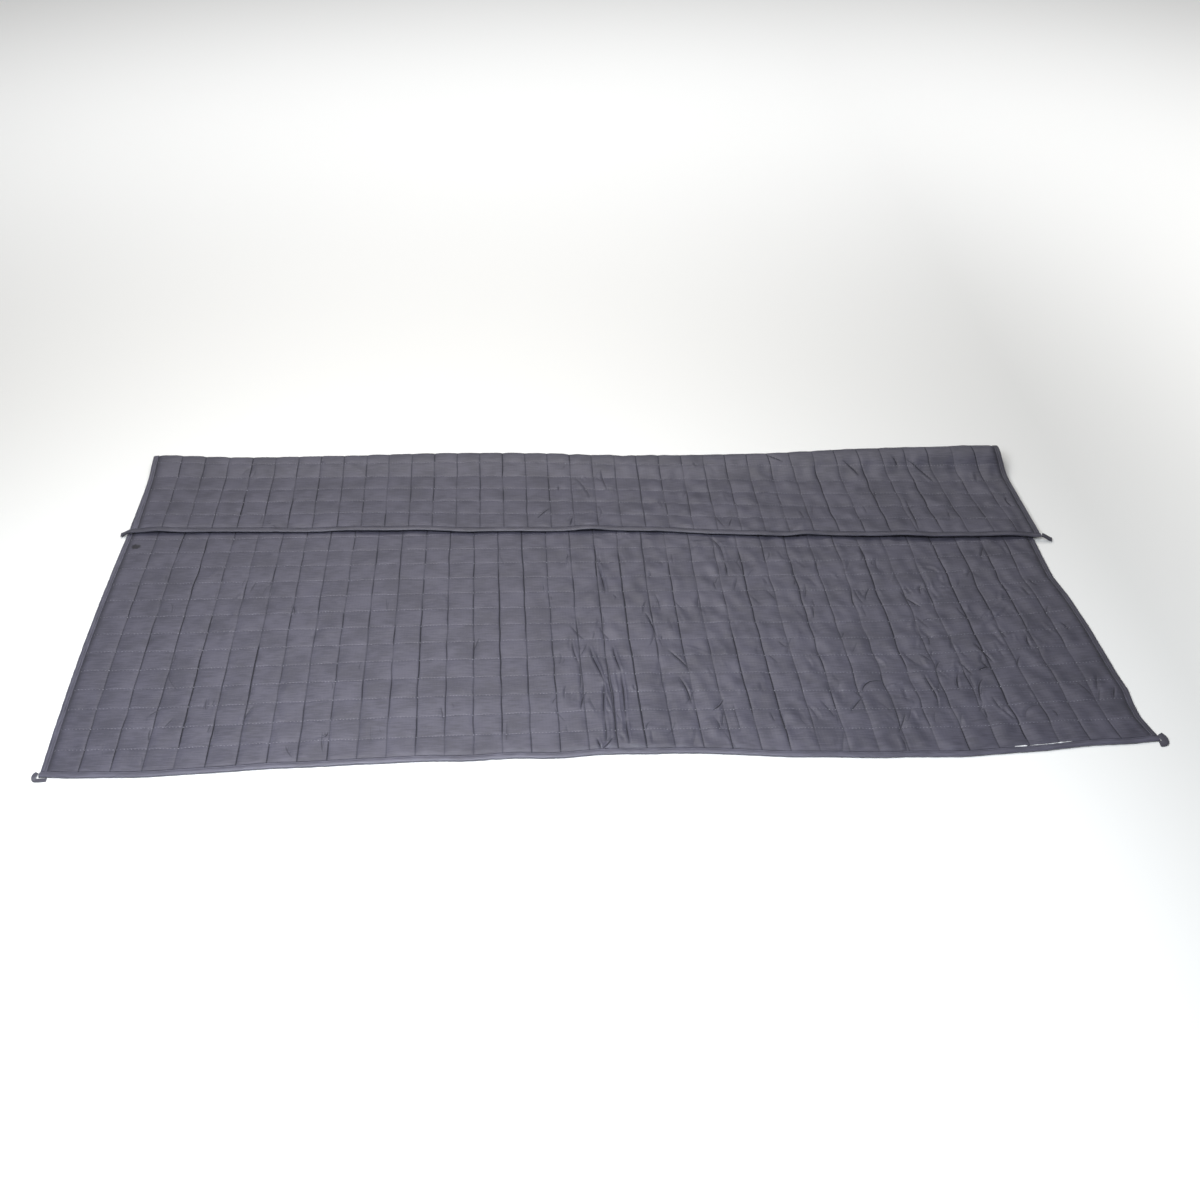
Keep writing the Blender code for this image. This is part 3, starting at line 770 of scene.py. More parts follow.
def noise(tree: Tree, place: Socket, scale: float, detail: float, roughness: float = 0.5) -> Socket:
    """Even noise about 0.5 that changes over 1 / scale of the place's unit."""
    inputs = {"Vector": place, "Scale": scale, "Detail": detail, "Roughness": roughness}
    return add_node(tree, "TexNoise", inputs).outputs["Fac"]


def mark(tree: Tree, name: str) -> Socket:
    """Named number that the mesh carries for each point; 0 on a mesh without it."""
    return add_node(tree, "Attribute", attribute_name=name).outputs["Fac"]


def new_material(name: str, values: dict[str, float]) -> tuple[Material, bpy.types.Node]:
    """Start a material.

    Args:
        name: the material's name.
        values: values of its main shader, by socket name.

    Returns:
        The material and its main shader.
    """
    made = bpy.data.materials.new(name)
    made.use_nodes = True
    shader = made.node_tree.nodes["Principled BSDF"]
    for socket, value in values.items():
        shader.inputs[socket].default_value = value
    return made, shader


def tinted(tree: Tree, code: str, tone: Socket) -> Socket:
    """Colour from an sRGB hex value, made lighter or darker by a changing tone."""
    return mixed(tree, 1.0, linear(code), tone, way="MULTIPLY")


def bumped(tree: Tree, height: Socket, strength: float, distance: float) -> Socket:
    """Direction of the surface with a fine relief, whose greatest height is a distance in metres."""
    inputs = {"Height": height, "Strength": strength, "Distance": distance}
    return add_node(tree, "Bump", inputs).outputs[0]


@dataclass(frozen=True)
class WovenCloth:
    """Fine plain-woven polyester, dyed and calendered: matt, with a faint soft sheen."""

    name: str
    colour: str                 # sRGB of the lit cloth
    painted_shade_and_spot: str                  # sRGB of the painted shade in seams, creases and troughs, and of the dark spot
    bright: str                 # sRGB of its lighter threads
    cell: float = 0.0           # quilting pitch for the seam lines, 0 where it has none
    slub: float = 3.0 * MM      # thickness of a weft slub, drawn coarser than the real 0.3 mm
    slub_length: float = 28.0 * MM
    ripple: float = 2.0 * math.pi * MM  # pitch of the drawn weave; the real 0.35 mm wouldn't show
    weave_bump: float = 0.05 * MM
    roughness: float = 0.50
    sheen: float = 0.06
    mottle: float = 0.22        # share of the light threads that the eye sees in patches
    seam_line: tuple[float, float] = (0.5 * MM, 1.9 * MM)   # where a seam's painted shade begins and ends to fade
    crease_line: tuple[float, float] = (0.6, 2.1)           # the same for a crease, mm
    trough_shade: float = 0.62   # share of painted shade in the trough beside the binding and in the binding's stitched groove, against a seam's
    marked: bool = False        # its mesh carries the marks of seams, creases and stitched troughs, where shade is painted
    smudge: tuple[float, float] | None = None   # place of a dark spot, in column and row
    smudge_edge: tuple[float, float] = (10.0 * MM, 16.0 * MM)   # where it begins and ends to fade
    smudge_ragged: float = 9.0 * MM     # how far noise moves that edge in

    def make(self) -> Material:
        """Build the material from the cloth's UV map, whose unit is a metre along the cloth.

        Returns:
            The material.
        """
        made, shader = new_material(self.name, {"Roughness": self.roughness, "Sheen Weight": self.sheen,
                                                "Sheen Roughness": 0.45, "Specular IOR Level": 0.7})
        tree = made.node_tree
        uv = add_node(tree, "UVMap", uv_map="cloth").outputs["UV"]
        stretch = (1 / self.slub_length, 1 / self.slub, 1.0)
        slub_place = add_node(tree, "Mapping", {"Vector": uv, "Scale": stretch}).outputs[0]
        slub = noise(tree, slub_place, 1.0, 2.0)
        patch = noise(tree, uv, 14.0, 3.0, roughness=0.6)
        threads = {"Vector": uv, "Scale": BAND / self.ripple, "Distortion": 0.6, "Detail": 1.0,
                   "Detail Scale": 3.0}
        weft, warp = (add_node(tree, "TexWave", threads, bands_direction=way).outputs["Fac"] for way in "YX")
        light = remap(tree, calc(tree, "ADD", slub, patch), (0.85, 1.15), (0.0, self.mottle * 2.0))
        colour = mixed(tree, light, linear(self.colour), linear(self.bright))
        if self.marked:
            # painted shade: the shade colour is laid into the seams, creases and troughs, where shade falls
            # on the real cloth
            dark = self.seams(tree, uv)
            colour = mixed(tree, dark, colour, linear(self.painted_shade_and_spot))
            tree.links.new(remap(tree, dark, (0.0, 1.0), (self.roughness, 1.0)), shader.inputs["Roughness"])
        if self.smudge:
            colour = mixed(tree, self.spot(tree, uv), colour, linear(self.painted_shade_and_spot))
        tree.links.new(colour, shader.inputs["Base Color"])
        grain = calc(tree, "ADD", calc(tree, "ADD", weft, warp), slub)
        tree.links.new(bumped(tree, grain, 0.8, self.weave_bump), shader.inputs["Normal"])
        return made

    def seams(self, tree: Tree, uv: Socket) -> Socket:
        """Where the column seams, the creases and the trough beside the binding get painted shade and are
        dull.

        The distance to the nearest seam is the UV coordinate folded back and forth over half a
        pocket, and the distance to the nearest crease comes with the mesh.

        Args:
            tree: node tree.
            uv: the cloth's UV map.

        Returns:
            How much painted shade, from 0 to 1.
        """
        across = add_node(tree, "SeparateXYZ", {0: uv}).outputs["X"]
        to_seam = calc(tree, "PINGPONG", across, self.cell / 2.0)
        seam = remap(tree, to_seam, self.seam_line, (1.0, 0.0), smooth=True)
        seam = calc(tree, "MULTIPLY", seam, mark(tree, "seam_depth"), clamp=True)
        trough = calc(tree, "MULTIPLY", mark(tree, "trough"), self.trough_shade)
        to_crease = calc(tree, "ABSOLUTE", mark(tree, "crease_off"))
        crease = remap(tree, to_crease, self.crease_line, (1.0, 0.0), smooth=True)
        crease = calc(tree, "MULTIPLY", crease, mark(tree, "crease"), clamp=True)
        return calc(tree, "MAXIMUM", calc(tree, "MAXIMUM", seam, trough), crease)

    def spot(self, tree: Tree, uv: Socket) -> Socket:
        """Where the small dark smudge with its ragged edge is.

        Args:
            tree: node tree.
            uv: the cloth's UV map.

        Returns:
            How dark, from 0 to 1.
        """
        centre = (self.smudge[0] * self.cell, self.smudge[1] * self.cell, 0.0)
        away = add_node(tree, "VectorMath", {0: uv, 1: centre}, operation="DISTANCE").outputs["Value"]
        ragged = calc(tree, "MULTIPLY", noise(tree, uv, 180.0, 2.0), self.smudge_ragged)
        return remap(tree, calc(tree, "ADD", away, ragged), self.smudge_edge, (1.0, 0.0), smooth=True)


@dataclass(frozen=True)
class Thread:
    """Spun polyester sewing thread: a little lighter than the cloth, with a low silky gloss."""

    name: str
    colour: str
    roughness: float = 0.55
    ripple: float = 2.0 * math.pi * MM  # pitch of the slanting ripples drawn for its twist

    def make(self) -> Material:
        """Build the material: a colour that changes from stitch to stitch.

        Returns:
            The material.
        """
        made, shader = new_material(self.name, {"Roughness": self.roughness, "Sheen Weight": 0.3})
        tree = made.node_tree
        place = add_node(tree, "TexCoord").outputs["Object"]
        tone = remap(tree, noise(tree, place, 90.0, 1.0), (0.3, 0.7), (0.72, 1.12))
        tree.links.new(tinted(tree, self.colour, tone), shader.inputs["Base Color"])
        turns = {"Vector": place, "Scale": SLANT_BAND / self.ripple}
        twist = add_node(tree, "TexWave", turns, bands_direction="DIAGONAL").outputs["Fac"]
        tree.links.new(bumped(tree, twist, 0.5, 0.1 * MM), shader.inputs["Normal"])
        return made


@dataclass(frozen=True)
class PaperSweep:
    """Matt white background paper, lit almost to white."""

    name: str = "paper_sweep"
    colour: str = "f4f4f3"

    def make(self) -> Material:
        """Build the material, with a slow change of tone.

        Returns:
            The material.
        """
        made, shader = new_material(self.name, {"Roughness": 0.9, "Specular IOR Level": 0.1})
        tree = made.node_tree
        place = add_node(tree, "TexCoord").outputs["Object"]
        tone = remap(tree, noise(tree, place, 0.8, 1.0), (0.0, 1.0), (0.985, 1.0))
        tree.links.new(tinted(tree, self.colour, tone), shader.inputs["Base Color"])
        return made


# ---------------------------------------------------------------- meshes
def link(name: str, data: bpy.types.ID) -> Object:
    """Make an object of a mesh, light or camera, and put it in the scene.

    Args:
        name: the object's name.
        data: the mesh, light or camera.

    Returns:
        The object.
    """
    made = bpy.data.objects.new(name, data)
    bpy.context.scene.collection.objects.link(made)
    return made


def distance_along(line: Array) -> Array:
    """Distance of each point of a line from its first, along the line."""
    return np.concatenate([[0.0], np.cumsum(np.linalg.norm(np.diff(line, axis=0), axis=1))])


@dataclass
class Surface:
    """Points and faces of a piece, gathered as whole arrays."""

    name: str
    points: list = field(default_factory=list)
    groups: list = field(default_factory=list)
    uvs: list = field(default_factory=list)
    values: dict = field(default_factory=dict)
    count: int = 0

    def add(self, points: Array, uv: Array | None = None, **values: Array) -> Array:
        """Take a grid of points.

        Args:
            points: points, with X, Y and Z on the last axis.
            uv: cloth coordinates in metres, of the same shape but for a last axis of two.
            values: named numbers for each point.

        Returns:
            The points' numbers, in the grid's shape.
        """
        shape = points.shape[:-1]
        size = int(np.prod(shape))
        self.points.append(points.reshape(-1, 3))
        self.uvs.append(np.zeros((size, 2)) if uv is None else uv.reshape(-1, 2))
        for name, value in values.items():
            self.values.setdefault(name, []).append((self.count, np.broadcast_to(value, shape).ravel()))
        numbers = np.arange(self.count, self.count + size).reshape(shape)
        self.count += size
        return numbers

    def quads(self, numbers: Array, around: bool = False) -> None:
        """Join a grid's rows, first to last, with four-cornered faces.

        Args:
            numbers: point numbers, rows by columns.
            around: also join each row's last point to its first.
        """
        after = np.roll(numbers, -1, axis=1) if around else numbers[:, 1:]
        before = numbers if around else numbers[:, :-1]
        faces = np.stack([before[:-1], after[:-1], after[1:], before[1:]], axis=-1)
        self.groups.append(faces.reshape(-1, 4))

    def tube(self, rings: Array, uv: Array | None = None, **values: Array) -> None:
        """Take rings of points and join them to a closed tube whose faces look outwards.

        The cross products of a ring's neighbouring points add up to a vector along the tube's
        heading or against it, which tells the way that the ring goes round.

        Args:
            rings: points, rings by places around, with X, Y and Z on the last axis.
            uv: cloth coordinates in metres, of the same shape but for a last axis of two.
            values: named numbers for each point.
        """
        numbers = self.add(rings, uv, **values)
        spokes = rings[0] - rings[0].mean(axis=0)
        heading = (rings[1] - rings[0]).mean(axis=0)
        turn = np.cross(spokes, np.roll(spokes, -1, axis=0)).sum(axis=0) @ heading
        order = numbers if turn > 0.0 else numbers[:, ::-1]
        self.quads(order, around=True)
        self.groups += [order[:1, ::-1], order[-1:]]

    def build(self, material: Material, sharp_deg: float = 75.0) -> Object:
        """Make the object.

        Args:
            material: finish of the piece.
            sharp_deg: edges sharper than this are shaded as corners.

        Returns:
            The object, linked to the scene and riding on the blanket.
        """
        points = np.concatenate(self.points)
        corners = np.concatenate([group.ravel() for group in self.groups])
        sizes = np.concatenate([np.full(len(group), group.shape[1]) for group in self.groups])
        mesh = bpy.data.meshes.new(self.name)
        mesh.vertices.add(len(points))
        mesh.vertices.foreach_set("co", points.astype(np.float32).ravel())
        mesh.loops.add(len(corners))
        mesh.loops.foreach_set("vertex_index", corners.astype(np.int32))
        mesh.polygons.add(len(sizes))
        mesh.polygons.foreach_set("loop_start", (np.cumsum(sizes) - sizes).astype(np.int32))
        mesh.update(calc_edges=True)
        layer = mesh.uv_layers.new(name="cloth")
        layer.data.foreach_set("uv", np.concatenate(self.uvs)[corners].astype(np.float32).ravel())
        for name, stretches in self.values.items():
            whole = np.zeros(len(points), dtype=np.float32)
            for start, value in stretches:
                whole[start:start + len(value)] = value
            mesh.attributes.new(name, "FLOAT", "POINT").data.foreach_set("value", whole)
        mesh.validate()
        mesh.shade_smooth()
        mesh.set_sharp_from_angle(angle=math.radians(sharp_deg))
        mesh.materials.append(material)
        made = link(self.name, mesh)
        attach(made, "root")
        LOG.info("%s: %d points, %d faces", self.name, len(points), len(sizes))
        return made


# ---------------------------------------------------------------- the quilted body
class Stretch(Enum):
    """Columns of the three skins that the cloth is drawn as, which meet in column seams."""

    SMOOTH = (0, 17)
    GATHERED = (17, 21)
    CRUMPLED = (21, 37)


@dataclass
class QuiltedBody:
    """Stretch of the folded cloth: two layers and their fold as one closed skin.

    The blanket is one cloth.  Its skin is drawn in three pieces only so that each stays small.
    """

    lie: Lie
    quilting: Quilting
    stretch: Stretch
    node: str = "quilt_panel"
    column_steps: tuple = (0.0, 0.015, 0.04, 0.08, 0.14, 0.21, 0.29, 0.37, 0.46, 0.55, 0.64, 0.73, 0.81,
                           0.88, 0.94, 0.98)
    row_steps: tuple = (0.0, 0.02, 0.06, 0.13, 0.21, 0.29, 0.37, 0.45, 0.53, 0.61, 0.69, 0.77, 0.85,
                        0.92, 0.98)
    folded_row_steps: tuple = (0.0, 0.03, 0.09, 0.19, 0.31, 0.44, 0.58, 0.72, 0.86, 0.96)
    even_steps: dict = field(default_factory=lambda: {Stretch.GATHERED: 36, Stretch.CRUMPLED: 20})
    margin: float = 0.1             # rows by which the fine skin goes in under the folded layer
    first_hidden: float = 0.15      # rows from there to the coarse skin's first row
    fold_steps: int = 12            # rows of points on the fold's back
    settle_steps: int = 8           # rows of points from the crest to the first whole row
    bend_steps: int = 8             # rows of points inside the fold
    hidden_shares: tuple = (0.05, 0.10, 0.15, 0.22, 0.5, 0.75, 1.0)    # of the way from crest to hem
    under_steps: int = 12           # rows of points on the underside

    def fine_columns(self) -> Array:
        """Column places of the fine skin, closest beside the seams.

        Returns:
            The places, first to last.
        """
        first, last = self.stretch.value
        even = self.even_steps.get(self.stretch)
        steps = np.arange(even) / even if even else np.asarray(self.column_steps)
        places = (np.arange(first, last)[:, None] + steps).ravel()
        return np.concatenate([places, [float(last)]])

    def fine_rows(self, first: float, last: float, steps: tuple) -> Array:
        """Row places of the fine skin from first to last, closest beside the seams.

        Args:
            first: first row.
            last: last row.
            steps: places within each row.

        Returns:
            The places.
        """
        rows = (np.arange(math.floor(first), math.ceil(last))[:, None] + np.asarray(steps)).ravel()
        inside = rows[(rows > first + 0.01) & (rows < last - 0.01)]
        return np.concatenate([[first], inside, [last]])

    def block_rows(self, fine_u: Array, coarse_u: Array) -> tuple[Array, ...]:
        """Row places of the four blocks of skin, in order around the section.

        The inner face runs from the front hem to the far hem, quilted where it shows and coarse
        under the fold.  The outer face comes back from there, quilted down to the floor and
        coarse on the underside.

        Args:
            fine_u: column places of the quilted blocks.
            coarse_u: column places of the coarse blocks.

        Returns:
            Four arrays, rows by columns.
        """
        lie = self.lie
        shown_end = lie.lower_shown + self.margin
        shown = self.fine_rows(0.0, shown_end, self.row_steps)
        begin = shown_end + self.first_hidden
        start, crest = lie.fold_start(coarse_u), lie.along("fold_row", coarse_u)
        hidden = [begin + (start - begin) * t for t in (0.0, 0.5, 1.0)]
        hidden += [start + (crest - start) * (k + 1) / self.bend_steps for k in range(self.bend_steps)]
        hidden += [crest + (lie.rows - crest) * share for share in self.hidden_shares]
        flat_end = np.full_like(start, lie.lower_shown)
        under = [start, start + (flat_end - start) * 0.5]
        under += [flat_end * share for share in np.linspace(1.0, 0.0, self.under_steps)]

        start, crest = lie.fold_start(fine_u), lie.along("fold_row", fine_u)
        back = start + (crest - start) * np.linspace(0.0, 1.0, self.fold_steps + 1)[:, None]
        first_row = math.ceil(float(crest.max()))
        shares = np.arange(1, self.settle_steps + 1)[:, None] / (self.settle_steps + 1.0)
        settle = crest + (first_row - crest) * shares
        top = self.fine_rows(float(first_row), float(lie.rows), self.folded_row_steps)
        wide = np.ones(len(fine_u))
        folded = np.concatenate([back, settle, top[:, None] * wide])[::-1]
        return shown[:, None] * wide, np.stack(hidden), folded, np.stack(under)

    def grid(self, surface: Surface, u: Array, v: Array, layer: Layer, fine: bool) -> Array:
        """Add a block of the skin.

        Args:
            surface: takes the points.
            u: column places.
            v: row places, rows by columns.
            layer: face of the cloth.
            fine: give it the quilting.

        Returns:
            The block's point numbers.
        """
        wide = np.broadcast_to(u, v.shape)
        uv = np.stack([wide, v], axis=-1) * self.lie.cell
        if not fine:
            plain = self.quilting.plain_face(wide, v, layer)
            return surface.add(plain, uv, seam_depth=0.6, crease_off=NO_CREASE)
        height, marks = self.quilting.height(wide, v)
        return surface.add(self.quilting.raised(wide, v, layer, height), uv, **marks)

    def hand_over(self, surface: Surface, fine: Array, coarse: Array, marks: Array,
                  fine_first: bool) -> None:
        """Join a fine row to a coarse one, one many-cornered face for each pocket.

        Args:
            surface: takes the faces.
            fine: point numbers of the fine row.
            coarse: point numbers of the coarse row, one for each column line.
            marks: where the column lines are in the fine row.
            fine_first: the fine row comes first around the section.
        """
        for place, (start, end) in enumerate(zip(marks, marks[1:])):
            run = fine[start:end + 1]
            pair = coarse[[place + 1, place]]
            face = np.concatenate([run, pair]) if fine_first else np.concatenate([pair[::-1], run[::-1]])
            surface.groups.append(face[None, :])

    def close_side(self, surface: Surface, inner: tuple, outer: tuple, left: bool) -> None:
        """Close one side edge between the inner and the outer face's lines of points.

        Each stretch of one line makes a triangle with the point that the other line has
        reached there, found by counting the rows passed.

        Args:
            surface: takes the faces.
            inner: point numbers and rows of the inner face, from row 0 up.
            outer: the same for the outer face.
            left: the left side edge, whose faces point to -X.
        """
        (near, near_rows), (far, far_rows) = inner, outer
        reached = np.searchsorted(far_rows[1:], near_rows[1:], side="left")
        first = np.stack([near[:-1], near[1:], far[reached]], axis=-1)
        reached = np.searchsorted(near_rows[1:], far_rows[1:], side="right")
        second = np.stack([near[reached], far[1:], far[:-1]], axis=-1)
        faces = np.concatenate([first, second])
        surface.groups.append(faces if left else faces[:, ::-1])

    def build(self, material: Material) -> Object:
        """Make the body: four blocks of skin, the joins between them and the two side edges.

        Args:
            material: the cloth.

        Returns:
            The body.
        """
        first, last = self.stretch.value
        fine_u, coarse_u = self.fine_columns(), np.arange(first, last + 1, dtype=float)
        marks = np.searchsorted(fine_u, coarse_u - 1e-6)
        rows = self.block_rows(fine_u, coarse_u)
        surface = Surface("quilt_body_" + self.stretch.name.lower())
        blocks = []
        for k, v in enumerate(rows):
            fine, layer = k % 2 == 0, Layer.INNER if k < 2 else Layer.OUTER
            blocks.append(self.grid(surface, fine_u if fine else coarse_u, v, layer, fine))
            surface.quads(blocks[k])
        for k, block in enumerate(blocks):
            after = blocks[(k + 1) % len(blocks)]
            fine_first = k % 2 == 0
            fine, coarse = (block[-1], after[0]) if fine_first else (after[0], block[-1])
            self.hand_over(surface, fine, coarse, marks, fine_first)
        for side in (0, -1):
            lines = [(block[:, side], v[:, side]) for block, v in zip(blocks, rows)]
            inner = tuple(np.concatenate(pair) for pair in zip(*lines[:2]))
            outer = tuple(np.concatenate(pair)[::-1] for pair in zip(*lines[2:]))
            self.close_side(surface, inner, outer, side == 0)
        body = surface.build(material)
        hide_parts(self.node)
        return body


# ---------------------------------------------------------------- stitches
@dataclass
class Stitching:
    """The quilting stitches, each a small raised spindle of thread lying on the cloth."""

    lie: Lie
    quilting: Quilting
    pitch: float = 6.2 * MM         # one stitch and the hole to the next
    length: float = 3.1 * MM
    width: float = 1.2 * MM
    lift: float = 0.35 * MM         # height of the thread over the cloth
    sunk: float = 0.12 * MM         # how far a stitch's two ends lie in the cloth
    begin: float = 0.05             # cells from an edge to the middle of the first stitch
    end: float = 0.04               # least number of cells from the last stitch to the edge
    first_folded: int = 18          # first row seam that can lie on the folded layer

    def spindles(self, surface: Surface, start: Array, end: Array, up: Array) -> None:
        """Add one six-pointed spindle for each pair of ends.

        Its two ends lie a little in the cloth, and its middle has a left, a right, a top and a
        bottom point around the thread.

        Args:
            surface: takes the spindles.
            start: first ends.
            end: second ends.
            up: unit vectors away from the cloth.
        """
        side = np.cross(end - start, up)
        side /= np.linalg.norm(side, axis=-1, keepdims=True)
        middle, sunk = (start + end) / 2.0, up * self.sunk
        beside, above = side * self.width / 2.0, up * self.lift
        points = [start - sunk, end - sunk, middle + beside, middle + above, middle - beside, middle - above]
        numbers = surface.add(np.stack(points, axis=1))
        belt = numbers[:, 2:]
        for k in range(4):
            a, b = belt[:, k], belt[:, (k + 1) % 4]
            surface.groups.append(np.stack([numbers[:, 0], a, b], axis=-1))
            surface.groups.append(np.stack([numbers[:, 1], b, a], axis=-1))

    def line(self, surface: Surface, u: Array, v: Array, du: float, dv: float, layer: Layer) -> None:
        """Add stitches centred at the given places, pointing along du, dv (in cells).

        Args:
            surface: takes the stitches.
            u: column places.
            v: row places.
            du: run across the columns.
            dv: run across the rows.
            layer: face of the cloth.
        """
        start = self.quilting.face(u - du / 2.0, v - dv / 2.0, layer)
        end = self.quilting.face(u + du / 2.0, v + dv / 2.0, layer)
        self.spindles(surface, start, end, layer.value * self.lie.outward(u, v))

    def build(self, material: Material, shaded: Material) -> list[Object]:
        """Make the stitches along the rows and along the columns, as two pieces.

        Args:
            material: thread along the rows.
            shaded: thread along the columns, a darker copy of it that stands for the painted shade of their
                grooves.

        Returns:
            The two pieces.
        """
        lie = self.lie
        step, length = self.pitch / lie.cell, self.length / lie.cell
        rows = Surface("row_stitches")
        u = np.arange(self.begin, lie.columns - self.end, step)
        for row in range(1, int(lie.lower_shown) + 1):
            self.line(rows, u, np.full_like(u, float(row)), length, 0.0, Layer.INNER)
        for row in range(self.first_folded, lie.rows):
            keep = u[lie.fold_start(u) < row - 0.02]
            self.line(rows, keep, np.full_like(keep, float(row)), length, 0.0, Layer.OUTER)
        columns = Surface("column_stitches")
        for column in range(1, lie.columns):
            fold = float(lie.fold_start(np.array([float(column)]))[0])
            for first, last, layer in ((self.begin, lie.lower_shown, Layer.INNER),
                                       (fold + self.begin, lie.rows - self.end, Layer.OUTER)):
                v = np.arange(first, last, step)
                self.line(columns, np.full_like(v, float(column)), v, 0.0, length, layer)
        made = [rows.build(material), columns.build(shaded)]
        return made


# ---------------------------------------------------------------- binding
class Side(Enum):
    """Edges of the blanket that the binding runs along."""

    FRONT = "binding_front"
    FAR = "binding_far"
    LEFT = "binding_left"
    RIGHT = "binding_right"


@dataclass
class Binding:
    """Strip of cloth folded over the raw edge and topstitched."""

    lie: Lie
    side: Side
    width: float = 0.0120
    thick: float = 0.0055
    gap: float = 0.0003             # seam to the quilted body
    points: int = 17                # across the section
    step: float = 3.2 * MM          # between sections
    fold_sections: int = 21         # sections on the fold's back
    inner_fullness: float = 8.0     # exponent of the section's inner half, square to the cloth
    outer_fullness: float = 2.4     # exponent of its rounded outer half
    stitch_in: float = 3.4 * MM     # topstitching's distance from the inner edge
    stitch_sink: float = 0.6 * MM
    stitch_reach: float = 0.9 * MM  # half width of the groove that it makes
    stitch_ends: float = 8.0 * MM   # from an end of the strip to the first and last stitch
    pucker: float = 0.35 * MM
    end_shrink: tuple[float, float] = (0.93, 0.86)  # width and height of the last section against the rest

    def section(self, along: Array) -> tuple[Array, Array, Array]:
        """Width and height of the section's points at each place along the strip.

        The outline is a superellipse, squarer on its inner half: its height is the root of 1
        less a power of the place across.  A narrow bell-shaped groove, where the topstitching
        pulls it in, and waves along the strip make it uneven.

        Args:
            along: distance along the strip, metres.

        Returns:
            Distance from the strip's middle towards its outer edge, height, and how deep in
            the stitched groove, as three arrays of places by points.
        """
        place = np.sin(np.linspace(-0.5, 0.5, self.points) * math.pi)
        power = np.where(place < 0.0, self.inner_fullness, self.outer_fullness)
        level = (1.0 - np.abs(place) ** power) ** (1.0 / power)
        wide = np.concatenate([place, place[-2:0:-1]]) * self.width / 2.0
        high = np.concatenate([level, -level[-2:0:-1]]) * self.thick / 2.0
        seed = 40 + list(Side).index(self.side)
        uneven = waves(along / 0.1, np.zeros_like(along), seed, 1.5, 5.5)[:, None]
        groove = -self.width / 2.0 + self.stitch_in
        pull = np.exp(-((wide[None, :] - groove) / self.stitch_reach) ** 2) * (0.75 + 0.25 * uneven)
        high = high[None, :] - np.sign(high)[None, :] * self.stitch_sink * pull
        outer = np.clip(wide[None, :] / self.width + 0.5, 0.0, 1.0)
        high = high * (1.0 + 0.05 * uneven * outer)
        wide = wide[None, :] - self.pucker * outer * (1.0 + uneven) / 2.0
        for end in (0, -1):
            wide[end] *= self.end_shrink[0]
            high[end] *= self.end_shrink[1]
        return wide, high, pull

    def route(self) -> tuple[Array, Array, Array, Array]:
        """Middle line of the strip.

        Returns:
            Centres, unit vectors to the outer edge, unit vectors upwards, distance along.
        """
        lie = self.lie
        offset = self.gap + self.width / 2.0
        if self.side in (Side.FRONT, Side.FAR):
            row = 0.0 if self.side is Side.FRONT else float(lie.rows)
            u = np.linspace(0.0, lie.columns, int(lie.columns * lie.cell / self.step) + 1)
            line = lie.middle(u, np.full_like(u, row))
            reach = self.gap + self.width
            ends = [line[:1] - (reach, 0.0, 0.0), line[-1:] + (reach, 0.0, 0.0)]
            centres = np.concatenate([ends[0], line, ends[1]]) - (0.0, offset, 0.0)
            across = np.tile((0.0, -1.0, 0.0), (len(centres), 1))
            up = np.tile((0.0, 0.0, 1.0), (len(centres), 1))
        else:
            sign = -1.0 if self.side is Side.LEFT else 1.0
            place = np.array([0.0 if self.side is Side.LEFT else float(lie.columns)])
            start, crest = float(lie.fold_start(place)[0]), float(lie.along("fold_row", place)[0])
            flat = np.linspace(0.0, start, int(start * lie.cell / self.step) + 1)
            bend = np.linspace(start, crest, self.fold_sections + 1)
            rest = np.linspace(crest, lie.rows, int((lie.rows - crest) * lie.cell / self.step) + 1)
            v = np.concatenate([flat, bend[1:], rest[1:]])
            u = np.full_like(v, place[0])
            centres = lie.middle(u, v) + (sign * offset, 0.0, 0.0)
            across = np.tile((sign, 0.0, 0.0), (len(centres), 1))
            up = -lie.outward(u, v)
        return centres, across, up, distance_along(centres)

    def build(self, cloth: Material) -> Object:
        """Sweep the section along the route and close its ends.

        Args:
            cloth: finish of the strip.

        Returns:
            The strip.
        """
        centres, across, up, along = self.route()
        wide, high, groove = self.section(along)
        rings = centres[:, None] + wide[..., None] * across[:, None] + high[..., None] * up[:, None]
        around = np.arange(wide.shape[1]) / wide.shape[1] * 2.0 * (self.width + self.thick)
        uv = np.stack(np.broadcast_arrays(along[:, None], around[None, :]), axis=-1)
        surface = Surface(self.side.value + "_strip")
        # the stitched groove is the trough mark, where the material paints shade
        surface.tube(rings, uv, trough=groove)
        strip = surface.build(cloth)
        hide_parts(self.side.value)
        return strip

    def stitches(self, surface: Surface, stitching: Stitching) -> None:
        """Add the topstitching along this strip, lying in its groove.

        Args:
            surface: takes the stitches.
            stitching: their size and pitch.
        """
        centres, across, up, along = self.route()
        places = np.arange(self.stitch_ends, along[-1] - self.stitch_ends, stitching.pitch)
        inward = -self.width / 2.0 + self.stitch_in
        lines = centres + across * inward + up * (self.thick / 2.0 - self.stitch_sink * 0.75)
        ends = [np.stack([np.interp(places + shift, along, lines[:, k]) for k in range(3)], axis=-1)
                for shift in (-stitching.length / 2.0, stitching.length / 2.0)]
        above = np.stack([np.interp(places, along, up[:, k]) for k in range(3)], axis=-1)
        stitching.spindles(surface, ends[0], ends[1], above)


